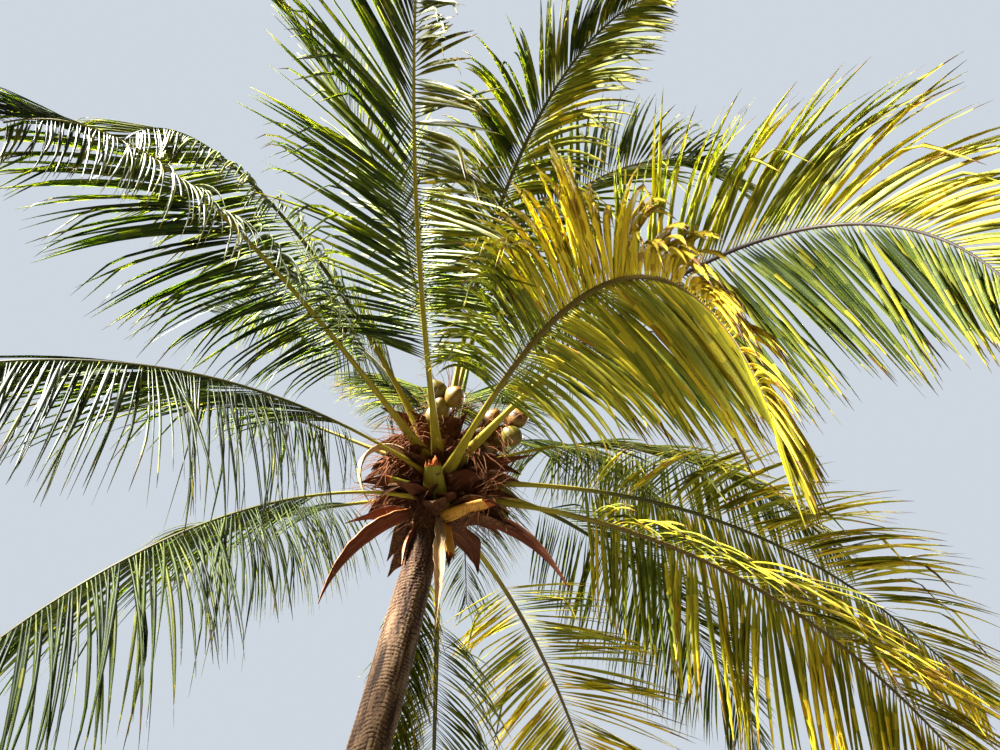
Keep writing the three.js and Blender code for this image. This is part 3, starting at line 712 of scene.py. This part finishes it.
def deal_paints(share, foot_tone, far_tone, ageing, rng):
    """A paint number for each leaflet and stretch: the tone of the side at that place, plus more toward
    the end, plus slow and single random shifts. Streaked leaflets jump, some stretches are flecked, and
    dry ends go brown."""
    ends, streaks, dry = ageing[4:7]
    way = (LEAFLET_STOPS[1:] + LEAFLET_STOPS[:-1]) / 2
    tone = foot_tone + (far_tone - foot_tone) * ease(share, 0.15, 0.45)
    tone = tone + 0.5 * drift(rng, PAIRS, 5) + 0.6 * rng.normal(size=PAIRS)
    tone = tone + streaks * (rng.uniform(size=PAIRS) < STREAKED) * rng.uniform(0.6, 2.0, PAIRS)
    paint = tone[:, None] + ends * way**1.6 + 0.3 * rng.normal(size=(PAIRS, len(way)))
    flecked = rng.uniform(size=paint.shape) < FLECKED * streaks
    paint = np.clip(np.round(paint + flecked * rng.uniform(1.0, 3.0, paint.shape)), 0, GOLD + flecked)
    browned = 1.02 - 0.25 * rng.uniform(size=PAIRS) * (rng.uniform(size=PAIRS) < dry + BROWNED)
    rusty = way[None] > (browned - 0.08)[:, None]
    paint = np.where(rusty, np.clip(paint + 3, 0, BROWN - 1), paint)
    return np.where(way[None] > browned[:, None], BROWN, paint)


# %% Leaflets of every frond
MISSING = 0.03
leaflet_count = 0
for number, (row, ageing, limb) in enumerate(zip(FRONDS, AGEING, frond_limbs), 1):
    rng = seeded(number)
    grown, dealt = [], []
    for side, tones in ((1, ageing[0:2]), (-1, ageing[2:4])):
        sections, share = leaflet_side(limb, row, side, ageing, rng)
        paint = deal_paints(share, *tones, ageing, rng)
        kept = rng.uniform(size=PAIRS) > MISSING
        grown.append(sections[kept])
        dealt.append(paint[kept])
    sections, paint = np.concatenate(grown), np.concatenate(dealt)
    ring = loft(sections[:1])[2]
    solids = [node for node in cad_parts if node.startswith(f"frond_{number:02d}")]
    piece(f"frond_{number:02d}_leaflets", sections, leaf_paints, solids, dealt=paint[:, ring])
    leaflet_count += len(sections)
print("leaflets", leaflet_count, "with", leaflet_count * LEAFLET_TRIANGLES, "triangles")

# %% [markdown]
# ## The heart
# Where the stalks meet, old leaf sheaths wrap the bud in layers of coarse brown cloth, torn and fraying. A
# smooth barrel would look turned on a lathe, so its radius carries overlapping steps that climb round it in
# a spiral, and separate torn sheaths and loose fibres stand off it.

# %% Heart of the crown
HEART_PROFILE = np.array(
    [(-0.08, 0.118), (0.0, 0.138), (0.09, 0.168), (0.24, 0.212), (0.52, 0.228), (0.80, 0.190), (1.0, 0.130),
     (1.15, 0.055)]
)
HEART_RINGS, HEART_CORNERS = 200, 120
LAYER_PITCH, SPIRAL_STARTS = 0.11, 3
LAYER_STEP, FOLD_DEPTH, WEAVE_DEPTH, HEART_INSET = 0.016, 0.0035, 0.002, 0.010
LAYER_WAVES, FOLD_WAVES, WEAVE_WAVES = (10, (1, 5), 6), (24, (6, 40), 6), (30, (20, 55), 60)

rng = seeded(100)
rise = np.linspace(HEART_PROFILE[0, 0], HEART_PROFILE[-1, 0], HEART_RINGS)[:, None]
around = angles(HEART_CORNERS)[None, :]
spiral = rise / LAYER_PITCH + SPIRAL_STARTS * around / TAU + 0.25 * waves(rng, around, rise, *LAYER_WAVES)
sheath_step = spiral - np.floor(spiral)
folds = waves(rng, around, rise, *FOLD_WAVES)
weave = WEAVE_DEPTH * waves(rng, around, rise, *WEAVE_WAVES)
cloth = LAYER_STEP * (1 - sheath_step) ** 2 + FOLD_DEPTH * folds + weave
heart_radius = np.interp(rise, *HEART_PROFILE.T) - HEART_INSET + cloth * ease(rise, rise[0, 0], 0.0)
heart_sections = column(heart_radius, around, TRUNK_HEIGHT + rise)
print("heart from", *(TRUNK_HEIGHT + rise[[0, -1], 0]).round(2))

# %% Fibre finish
FIBRE_DARK = (0.018, 0.007, 0.004)
FIBRE_BROWN = (0.095, 0.034, 0.012)
FIBRE_TAN = (0.270, 0.125, 0.045)


def fibre_finish(name, shade=1.0):
    """Coarse brown cloth: two sets of fine threads crossing, tan where they stand up and nearly black
    between."""
    fibre = Finish(name, Roughness=0.92, Specular_IOR_Level=0.15)
    place = fibre.place()
    threads = fibre.streaks(place, (150, 150, 14), 3)
    weft = fibre.streaks(place, (22, 22, 120), 3)
    patches = fibre.noise(place, 7.0, 3)
    woven = threads * 0.65 + weft * 0.35
    dark, brown, tan = (tuple(shade * v for v in c) for c in (FIBRE_DARK, FIBRE_BROWN, FIBRE_TAN))
    colour = fibre.mix(fibre.step(woven, 0.36, 0.52), dark, brown)
    colour = fibre.mix(fibre.step(woven + (patches - 0.5) * 0.4, 0.50, 0.68), colour, tan)
    fibre.set(Base_Color=colour)
    fibre.bump(woven, 0.006)
    return fibre.material


sheath_cloth = fibre_finish("sheath_cloth")
dry_cloth = fibre_finish("dry_cloth", 0.8)
piece("heart_cloth", heart_sections[None], [sheath_cloth], ["crown_heart"])
print("heart made")

# %% [markdown]
# ## Bracts and torn sheaths
# Each flower bunch opens out of a woody bract, shaped like a long boat: ribbed outside, smooth inside, and
# reddish brown once dry. Torn sheaths are the same boat, shorter and twisted, some of cloth and some of
# wood. A sheet thickened by a modifier would do, but a loft with an outer and an inner row of corners is
# closed at once, and lets each row have its own finish.

# %% Boat-shaped sections
BOAT_COLUMNS, BOAT_GROOVES, RAGGED = 14, 9, 0.10
BOAT_FOOT, BOAT_EDGE = 0.35, 0.0015


def boat_sections(limb, rings, width, rim, thickness, ribs, curl, rng):
    """Sections of a trough [ring, corner]: across it, height is rim times the square of the way out,
    ribbed outside. The width follows a sine to a point, edges wander a little, and curl lifts the rims
    toward the tip."""
    way = np.linspace(0, 1, rings)
    back = -LIMB_ROOT / limb["length"]
    place, _, over, across = stations(limb, np.concatenate([[back], way[1:]]))
    half = width / 2 * (BOAT_FOOT + (1 - BOAT_FOOT) * np.sin(np.pi * np.minimum(way * 1.15, 1) ** 0.8))
    half = half * (1 - way**6) + BOAT_EDGE
    out = np.linspace(-1, 1, BOAT_COLUMNS)
    ragged = 1 + RAGGED * np.stack([drift(rng, rings, 3), drift(rng, rings, 3)], 1)
    stretch = np.where(out < 0, ragged[:, :1], ragged[:, 1:])
    x = half[:, None] * out * stretch
    lift = rim * half[:, None] * (1 + curl * way[:, None]) * out**2
    grooves = ribs * np.cos(out * np.pi * BOAT_GROOVES)
    taper = thickness / 2 * (1 - 0.7 * way[:, None])
    lower, upper = lift - taper - grooves, lift + taper
    x, y = np.concatenate([x, x[:, ::-1]], 1), np.concatenate([lower, upper[:, ::-1]], 1)
    walked = (way * limb["length"])[:, None]
    return placed(place, across, over, x, y), np.stack(np.broadcast_arrays(x, y, walked), -1)


def boat_sides(rings):
    """0 for the ribbed outside and 1 for the smooth inside, for each face of one boat, caps included."""
    wall = np.tile(np.arange(2 * BOAT_COLUMNS) >= BOAT_COLUMNS - 1, rings - 1)
    return np.concatenate([wall, np.zeros(2 * (BOAT_COLUMNS - 1), bool)]).astype(int)


print("a boat's section has", 2 * BOAT_COLUMNS, "corners")

# %% Bract finishes
BRACT_RED = (0.095, 0.020, 0.007)
BRACT_GREY = (0.190, 0.070, 0.028)
BRACT_ORANGE = (0.300, 0.085, 0.015)
BRACT_TAN = (0.420, 0.240, 0.100)
BRACT_STRAW = (0.620, 0.500, 0.340)


def bract_finish(name, main, pale, gloss):
    """Dry wood with the grain running along it, and paler weathered streaks."""
    wood = Finish(name, Roughness=gloss, Specular_IOR_Level=0.15)
    grain = wood.mark("grain", "Vector")
    lines = wood.streaks(grain, (140, 140, 2.5), 4)
    blotches = wood.streaks(grain, (14, 14, 4), 3)
    colour = wood.mix(wood.step(lines, 0.4, 0.7) * 0.7, main, pale)
    colour = wood.mix(wood.step(blotches, 0.55, 0.75) * 0.6, colour, FIBRE_DARK)
    wood.set(Base_Color=colour)
    wood.bump(lines, 0.003)
    return wood.material


bract_outside = bract_finish("bract_outside", BRACT_RED, BRACT_GREY, 0.75)
bract_inside = bract_finish("bract_inside", BRACT_ORANGE, BRACT_TAN, 0.5)
bract_dry = bract_finish("bract_dry", BRACT_TAN, BRACT_STRAW, 0.8)
print("bract finishes ready")

# %% Bracts
BRACTS = [
    (188, -25, -78, 1.25, 0.200, -0.30),
    (356, -10, -66, 1.30, 0.190, -0.33),
    (14, 4, -40, 0.90, 0.150, -0.28),
    (340, 22, 0, 0.80, 0.150, -0.04),
    (348, 38, 14, 0.76, 0.140, 0.11),
    (205, -62, -84, 0.52, 0.110, -0.40),
    (282, -62, -90, 1.25, 0.100, -0.42),
    (221, 62, -140, 1.30, 0.095, -0.06),
]
DRIED_BRACTS = (7, 8)
BRACT_RINGS = 48
BRACT_SHAPE = {"rim": 0.55, "thickness": 0.012, "ribs": 0.0016, "curl": 0.5}

for number, (azimuth, launch, tip, length, width, seat) in enumerate(BRACTS, 1):
    rng = seeded(200 + number)
    limb = walk(azimuth, launch, tip, length, seat, bend=1.0)
    sections, grain = boat_sections(limb, BRACT_RINGS, width, rng=rng, **BRACT_SHAPE)
    finishes = [bract_dry, bract_dry] if number in DRIED_BRACTS else [bract_outside, bract_inside]
    piece(f"woody_bract_{number}", sections[None], finishes, [f"bract_{number}"],
          dealt=boat_sides(BRACT_RINGS), grain=grain[None])
print("bracts made:", len(BRACTS))

# %% Torn sheaths round the heart
SHEATHS, SHEATH_RINGS = 64, 22
SHEATH_SHAPE = {"rim": 0.5, "thickness": 0.007, "ribs": 0.003, "curl": -0.8}
SHEATH_LOW, SHEATH_HIGH = -0.46, 0.42
SPIRAL_TURN = 137.5
SIDE_REACH = 0.26
WOODEN_SHARE = 0.6
TORN_RED = (0.060, 0.016, 0.006)
TORN_TAN = (0.190, 0.065, 0.018)

rng = seeded(300)
torn, grains = [], []
for number in range(SHEATHS):
    azimuth = number * SPIRAL_TURN + rng.uniform(-15, 15)
    up = number / SHEATHS
    launch = 8 + 50 * up + rng.uniform(-18, 22)
    length = rng.uniform(0.28, 0.50) + SIDE_REACH * abs(np.cos(np.radians(azimuth)))
    width = rng.uniform(0.14, 0.27)
    seat = SHEATH_LOW + (SHEATH_HIGH - SHEATH_LOW) * up
    tip = launch - rng.uniform(40, 110)
    limb = walk(azimuth, launch, tip, length, seat, bend=1.0, twist=rng.uniform(-50, 50))
    sections, grain = boat_sections(limb, SHEATH_RINGS, width, rng=rng, **SHEATH_SHAPE)
    torn.append(sections)
    grains.append(grain)
torn_wood = bract_finish("torn_wood", TORN_RED, TORN_TAN, 0.75)
sheath_faces = len(boat_sides(SHEATH_RINGS))
cloth_or_wood = np.repeat(rng.uniform(size=SHEATHS) < WOODEN_SHARE, sheath_faces)
piece("torn_sheaths", np.stack(torn), [dry_cloth, torn_wood], dealt=cloth_or_wood,
      grain=np.stack(grains))
print("torn sheaths", SHEATHS)

# %% [markdown]
# ## Old leaf stubs and the spear leaf
# Old leaves are cut or break off and leave the foot of their stalk, waxy yellow-green at first and orange
# as it dies, with a torn, rusty end. The youngest leaf still stands as a closed, pleated spear over the
# heart.

# %% Stub finishes and stubs
STUBS = [
    (266, 42, 0.47, 0.210, -0.33),
    (328, 4, 0.48, 0.170, -0.39),
    (310, -66, 0.40, 0.115, -0.52),
    (196, 20, 0.43, 0.150, -0.12),
    (262, 58, 0.33, 0.110, 0.06),
]
STUB_DROOP, STUB_RINGS = 12, 40
STUB_FLATNESS, STUB_HOLLOW = 0.5, 0.35
STUB_FOOT, STUB_NARROWING = 1.25, 0.70
STUB_LIME = (0.250, 0.230, 0.018)
STUB_ORANGE = (0.560, 0.260, 0.030)
END_RUST = (0.330, 0.060, 0.010)
END_AMBER = (0.420, 0.180, 0.020)
fresh_stub = rib_finish("fresh_stub", STUB_LIME, STUB_LIME)
orange_stub = rib_finish("orange_stub", STUB_ORANGE, STUB_ORANGE)
torn_end = bract_finish("torn_end", END_RUST, END_AMBER, 0.8)
STUB_FINISHES = [fresh_stub, orange_stub, orange_stub, fresh_stub, fresh_stub]
TEAR_FROM, RUSTY_FROM, TEAR_DEPTH = 0.78, 0.83, 0.13
CAP_FACES = 2 * (RIB_CORNERS // 2 - 1)

for number, ((azimuth, launch, length, width, seat), finish) in enumerate(zip(STUBS, STUB_FINISHES), 1):
    rng = seeded(400 + number)
    limb = walk(azimuth, launch, launch - STUB_DROOP, length, seat)
    shares = np.concatenate([[-LIMB_ROOT / length], np.linspace(0, 1, STUB_RINGS)])
    widths = width * (STUB_FOOT - STUB_NARROWING * np.clip(shares, 0, 1))
    sections, grain = stalk_sections(limb, shares, widths, STUB_FLATNESS, STUB_HOLLOW)
    tears = ease(shares, TEAR_FROM, 1.0)[:, None] * rng.uniform(-TEAR_DEPTH, 0.0, RIB_CORNERS)
    sections = sections + stations(limb, shares)[1][:, None] * tears[..., None]
    torn = np.append(np.repeat(shares[1:] > RUSTY_FROM, RIB_CORNERS), np.ones(CAP_FACES, bool))
    piece(f"old_stub_{number}", sections[None], [finish, torn_end], [f"leaf_stub_{number}"],
          dealt=torn.astype(int), grain=grain[None], marks={"share": 0.12 + 0.2 * shares[None, :, None]})
print("stubs made:", len(STUBS))

# %% Spear leaf
SPEAR_LENGTH, SPEAR_RADIUS, SPEAR_FOOT, SPEAR_ROOT = 1.9, 0.042, 1.15, 0.1
SPEAR_RINGS, SPEAR_CORNERS = 70, 24
PLEATS, PLEAT_DEPTH = 6, 0.10
SPEAR_PALE = (0.330, 0.360, 0.090)
SPEAR_GREEN = (0.260, 0.330, 0.060)

way = np.linspace(0, 1, SPEAR_RINGS)[:, None]
around = angles(SPEAR_CORNERS)[None, :]
pleated = 1 + PLEAT_DEPTH * np.cos(PLEATS * around + 4 * way)
spear_radius = SPEAR_RADIUS * (1 - 0.9 * way**1.4) * pleated
spear_height = TRUNK_HEIGHT + SPEAR_FOOT - SPEAR_ROOT + (SPEAR_LENGTH + SPEAR_ROOT) * way
spear_sections = column(spear_radius, around, spear_height)
spear_grain = spear_sections - np.array([1, 0, 0]) * lean(spear_height)[..., None]
spear_wax = rib_finish("spear_wax", SPEAR_PALE, SPEAR_GREEN)
piece("spear_leaflets", spear_sections[None], [spear_wax], ["spear_leaf"],
      grain=spear_grain[None], marks={"share": 0.15 + 0.85 * way[None]})
print("spear made")

# %% [markdown]
# ## Nuts
# Coconuts hang in bunches close to the heart, each as big as a head, slightly three-sided and blunt at its
# point. They could be scaled spheres, but the blunt point and the three faint ridges are what makes them
# coconuts, so a profile is carried round with a ripple of three.

# %% Where the nuts hang
BUNCHES = [
    (322, 38, -20, 0.76, 0.13),
    (278, 56, 20, 0.56, 0.33),
    (78, 30, -30, 0.64, 0.15),
    (128, 40, -20, 0.62, 0.26),
]
NUT_RADIUS, NUT_LENGTH, NUT_REACH = 0.098, 1.2, 0.108
NUT_ROOM, HEART_ROOM = 0.150, 0.330
NUTS_A_WHORL, WHORLS, WHORL_STEP = 3, 3, 0.24
STALK_RADIUS = 0.017

bare_ribs = np.concatenate([limb["place"][: int(STEPS * BARE_SHARE) + 1] for limb in frond_limbs])


def nut_places(limb):
    """Centres and long axes of a bunch's nuts: three whorls of three round its stalk, each whorl turned
    by half a step. A nut that would touch a stalk or the heart is left out."""
    whorl, nut = (v.ravel() for v in np.meshgrid(np.arange(WHORLS), np.arange(NUTS_A_WHORL), indexing="ij"))
    place, along, over, across = stations(limb, 1 - WHORL_STEP * (WHORLS - 1 - whorl))
    angle = TAU * (nut / NUTS_A_WHORL + whorl / (2 * NUTS_A_WHORL))
    outward = across * np.cos(angle)[:, None] + over * np.sin(angle)[:, None]
    centre = place + outward * NUT_REACH
    clear = np.linalg.norm(centre[:, None] - bare_ribs[None], axis=-1).min(1) > NUT_ROOM
    off_heart = np.hypot(centre[:, 0] - lean(centre[:, 2]), centre[:, 1]) > HEART_ROOM
    kept = clear & off_heart
    return centre[kept], unit(along + 0.5 * outward)[kept]


print("stations to keep clear of", len(bare_ribs))

# %% Shape of a nut
NUT_RINGS, NUT_CORNERS = 26, 30
RIDGES, RIDGE_HEIGHT = 3, 0.045


def nut_sections(centre, axis, size, rng):
    """Sections [nut, ring, corner] from the stalk's end to the blunt point: the radius is a sine raised
    to a power, fuller past the middle, with a ripple of three round it."""
    way = np.linspace(0.02, 0.985, NUT_RINGS)
    profile = np.sin(np.pi * way**0.92) ** 0.62
    around = angles(NUT_CORNERS)
    spin = rng.uniform(0, TAU, len(centre))[:, None]
    ripple = 1 + RIDGE_HEIGHT * np.cos(RIDGES * (around[None] + spin))
    side = unit(np.cross(axis, [0.3, 0.2, 0.93]))
    front = np.cross(axis, side)
    circle = side[:, None] * np.cos(around)[None, :, None] + front[:, None] * np.sin(around)[None, :, None]
    radius = (size * NUT_RADIUS)[:, None, None] * profile[None, :, None] * ripple[:, None]
    along = (way - 0.5) * 2 * NUT_LENGTH * NUT_RADIUS
    spine = centre[:, None] + axis[:, None] * along[None, :, None] * size[:, None, None]
    return spine[:, :, None] + circle[:, None] * radius[..., None]


# %% Nut finishes
NUT_GREEN = (0.110, 0.100, 0.010)
NUT_OLIVE = (0.150, 0.108, 0.010)
NUT_ORANGE = (0.165, 0.085, 0.010)
NUT_BROWN = (0.060, 0.024, 0.008)
STRAND_BROWN = (0.120, 0.045, 0.014)


def nut_finish(name, main, other):
    """Smooth waxy husk with soft patches, brown scuffs and fine specks."""
    husk = Finish(name, Roughness=0.45, Specular_IOR_Level=0.3)
    place = husk.place()
    patches = husk.noise(place, 9.0, 3)
    scuffs = husk.noise(place, 38.0, 5, 0.7)
    colour = husk.mix(husk.step(patches, 0.40, 0.62), main, other)
    colour = husk.mix(husk.step(scuffs + (patches - 0.5) * 0.5, 0.56, 0.68) * 0.8, colour, NUT_BROWN)
    husk.set(Base_Color=colour)
    husk.bump(scuffs, 0.002)
    return husk.material


nut_husks = [
    nut_finish("green_husk", NUT_GREEN, NUT_OLIVE),
    nut_finish("olive_husk", NUT_OLIVE, NUT_ORANGE),
    nut_finish("ripe_husk", NUT_ORANGE, NUT_BROWN),
]
strand_dry = bract_finish("dry_strand", STRAND_BROWN, BRACT_ORANGE, 0.8)
print("husks", [m.name for m in nut_husks])

# %% Bunches of nuts
HUSK_SHARES = (0.3, 0.45, 0.25)
nut_faces = (NUT_RINGS - 1) * NUT_CORNERS + 2 * (NUT_CORNERS // 2 - 1)
bunch_limbs = [walk(az, launch, tip, length, seat) for az, launch, tip, length, seat in BUNCHES]
for number, limb in enumerate(bunch_limbs, 1):
    rng = seeded(500 + number)
    centre, axis = nut_places(limb)
    size = rng.uniform(0.92, 1.08, len(centre))
    sections = nut_sections(centre, axis, size, rng)
    husk_of = rng.choice(len(nut_husks), len(centre), p=HUSK_SHARES)
    piece(f"nuts_{number}", sections, nut_husks, [f"fruit_bunch_{number}"],
          dealt=np.repeat(husk_of, nut_faces))
    print("bunch", number, "has", len(centre), "nuts")

# %% [markdown]
# ## Strands and fibres
# Between the nuts run the bunch's strands, orange-brown and wiry, more of them on brooms that have lost
# their nuts, and all over the heart the sheaths fray into loose fibres. Hair curves would not survive the
# export, so each strand is a thin four-sided tube whose heading wanders and sinks as it goes.

# %% Wandering strands
STRAND_STOPS, STRAND_TAPER = 9, 0.8


def strand_sections(start, heading, length, radius, wander, sag, rng):
    """Thin tubes [strand, stop, corner]: each step's heading is the first one plus a random walk and a
    growing pull downward. The radius shrinks to a fifth at the tip."""
    count = len(start)
    way = np.linspace(0, 1, STRAND_STOPS)
    walk_off = np.cumsum(rng.normal(0, wander / np.sqrt(STRAND_STOPS), (count, STRAND_STOPS, 3)), 1)
    headings = heading[:, None] + walk_off
    headings[..., 2] -= sag * way
    headings = unit(headings)
    steps = headings * (length / (STRAND_STOPS - 1))[:, None, None]
    spine = start[:, None] + np.cumsum(steps, 1) - steps[:, :1]
    side = unit(np.cross(headings, [0.31, 0.52, 0.79]))
    front = np.cross(headings, side)
    thick = (radius * (1 - STRAND_TAPER * way))[None, :, None]
    return np.stack([spine + thick * corner for corner in (side, front, -side, -front)], 2)


def on_heart(rng, count, low, high):
    """Random points on the heart's skin between two heights above the trunk's top, and their outward
    directions."""
    up = rng.uniform(low, high, count)
    angle = rng.uniform(0, TAU, count)
    outward = np.stack([np.cos(angle), np.sin(angle), 0 * angle], -1)
    height = TRUNK_HEIGHT + up
    return column(np.interp(up, *HEART_PROFILE.T) - HEART_INSET, angle, height), outward


print("a strand has", STRAND_STOPS, "stops")

# %% Loose fibres on the heart and the neck
FIBRES = 900
FIBRE_SHAPE = {"radius": 0.0028, "wander": 0.5, "sag": 1.6}
rng = seeded(600)
start, outward = on_heart(rng, FIBRES, -0.05, 0.9)
heading = outward * rng.uniform(0.3, 1.0, (FIBRES, 1)) + rng.normal(0, 0.45, (FIBRES, 3))
length = rng.uniform(0.06, 0.30, FIBRES)
fibres = strand_sections(start, heading, length, rng=rng, **FIBRE_SHAPE)
piece("loose_fibres", fibres, [dry_cloth])
print("loose fibres", FIBRES)

# %% Flower strands of the bunches
STRANDS_A_BUNCH = 64
STRAND_SHAPE = {"radius": 0.0048, "wander": 0.6, "sag": 1.1}
STALK_RINGS = 30
BROOMS = [
    (208, 28, 0.10),
    (186, 8, -0.05),
    (232, 40, 0.22),
    (338, -4, -0.16),
    (352, 16, 0.02),
    (316, 30, 0.10),
    (20, 10, 0.00),
]
BROOM_LENGTH, BROOM_FALL = 0.42, 60
brooms = [walk(az, launch, launch - BROOM_FALL, BROOM_LENGTH, seat) for az, launch, seat in BROOMS]
grown = []
for number, limb in enumerate(bunch_limbs + brooms, 1):
    rng = seeded(700 + number)
    place, along, over, across = stations(limb, rng.uniform(0.25, 1.0, STRANDS_A_BUNCH))
    angle = rng.uniform(0, TAU, STRANDS_A_BUNCH)[:, None]
    heading = along * 0.8 + across * np.cos(angle) + over * np.sin(angle)
    length = rng.uniform(0.2, 0.55, STRANDS_A_BUNCH)
    grown.append(strand_sections(place, heading, length, rng=rng, **STRAND_SHAPE))
flower_strands = np.concatenate(grown)
piece("flower_strands", flower_strands, [strand_dry], grain=flower_strands)

stalks, grains = [], []
for limb in bunch_limbs + brooms:
    shares = np.linspace(-LIMB_ROOT / limb["length"], 1, STALK_RINGS)
    sections, grain = stalk_sections(limb, shares, np.full(STALK_RINGS, 2 * STALK_RADIUS), 1.0, 0.0)
    stalks.append(sections)
    grains.append(grain)
piece("bunch_stalks", np.stack(stalks), [strand_dry], grain=np.stack(grains))
print("strands", len(flower_strands), "stalks", len(stalks))

# %% [markdown]
# ## Light and floor
# A plain pale floor and one broad, soft key lamp from the upper left, as in a studio, with a weaker lamp
# behind on the right. The crown is seen from below, so its contrast depends on how little light comes back
# from the floor: the key's spread is narrow, and the room lights the palm more weakly than the camera sees
# it.

# %% Stage
FLOOR_HALF = 90.0
ROOM_SEEN = (0.62, 0.68, 0.75)
ROOM_LIGHT = (0.110, 0.115, 0.120)
FLOOR_GREY = (0.42, 0.41, 0.38)

floor_finish = Finish("pale_floor", Base_Color=(*FLOOR_GREY, 1), Roughness=0.9)
floor_mesh = bpy.data.meshes.new("floor")
corner = [(-1, -1), (1, -1), (1, 1), (-1, 1)]
floor_mesh.from_pydata([(FLOOR_HALF * x, FLOOR_HALF * y, 0) for x, y in corner], [], [(0, 1, 2, 3)])
floor_mesh.materials.append(floor_finish.material)
floor = put("floor", floor_mesh)

world = bpy.data.worlds.new("pale_room")
world.use_nodes = True
room = world.node_tree.nodes
light_path = room.new("ShaderNodeLightPath")
room_mix = room.new("ShaderNodeMix")
room_mix.data_type = "RGBA"
room_mix.inputs[6].default_value = (*ROOM_LIGHT, 1)
room_mix.inputs[7].default_value = (*ROOM_SEEN, 1)
world.node_tree.links.new(light_path.outputs["Is Camera Ray"], room_mix.inputs[0])
world.node_tree.links.new(room_mix.outputs[2], room["Background"].inputs["Color"])
bpy.context.scene.world = world
print("stage set")

# %% Lights


def soft_lamp(name, place, aim, size, watts, spread):
    """A square lamp of the given side at a place, turned to face its aim."""
    lamp = bpy.data.lights.new(name, "AREA")
    lamp.size = size
    lamp.energy = watts
    lamp.spread = np.radians(spread)
    holder = put(name, lamp)
    holder.location = place
    away = np.array(aim) - np.array(place)
    tilt, turn = np.arctan2(np.hypot(away[0], away[1]), -away[2]), np.arctan2(-away[0], away[1])
    holder.rotation_euler = (tilt, 0, turn)


CROWN_MIDDLE = (1.2, -0.3, 6.2)
soft_lamp("key", (-9.0, -7.0, 17.0), CROWN_MIDDLE, 3.0, 3400, 54)
soft_lamp("rim", (10.0, 9.0, 14.0), CROWN_MIDDLE, 5.0, 700, 80)
bpy.context.scene.view_settings.view_transform = "Standard"
print("lamps on")
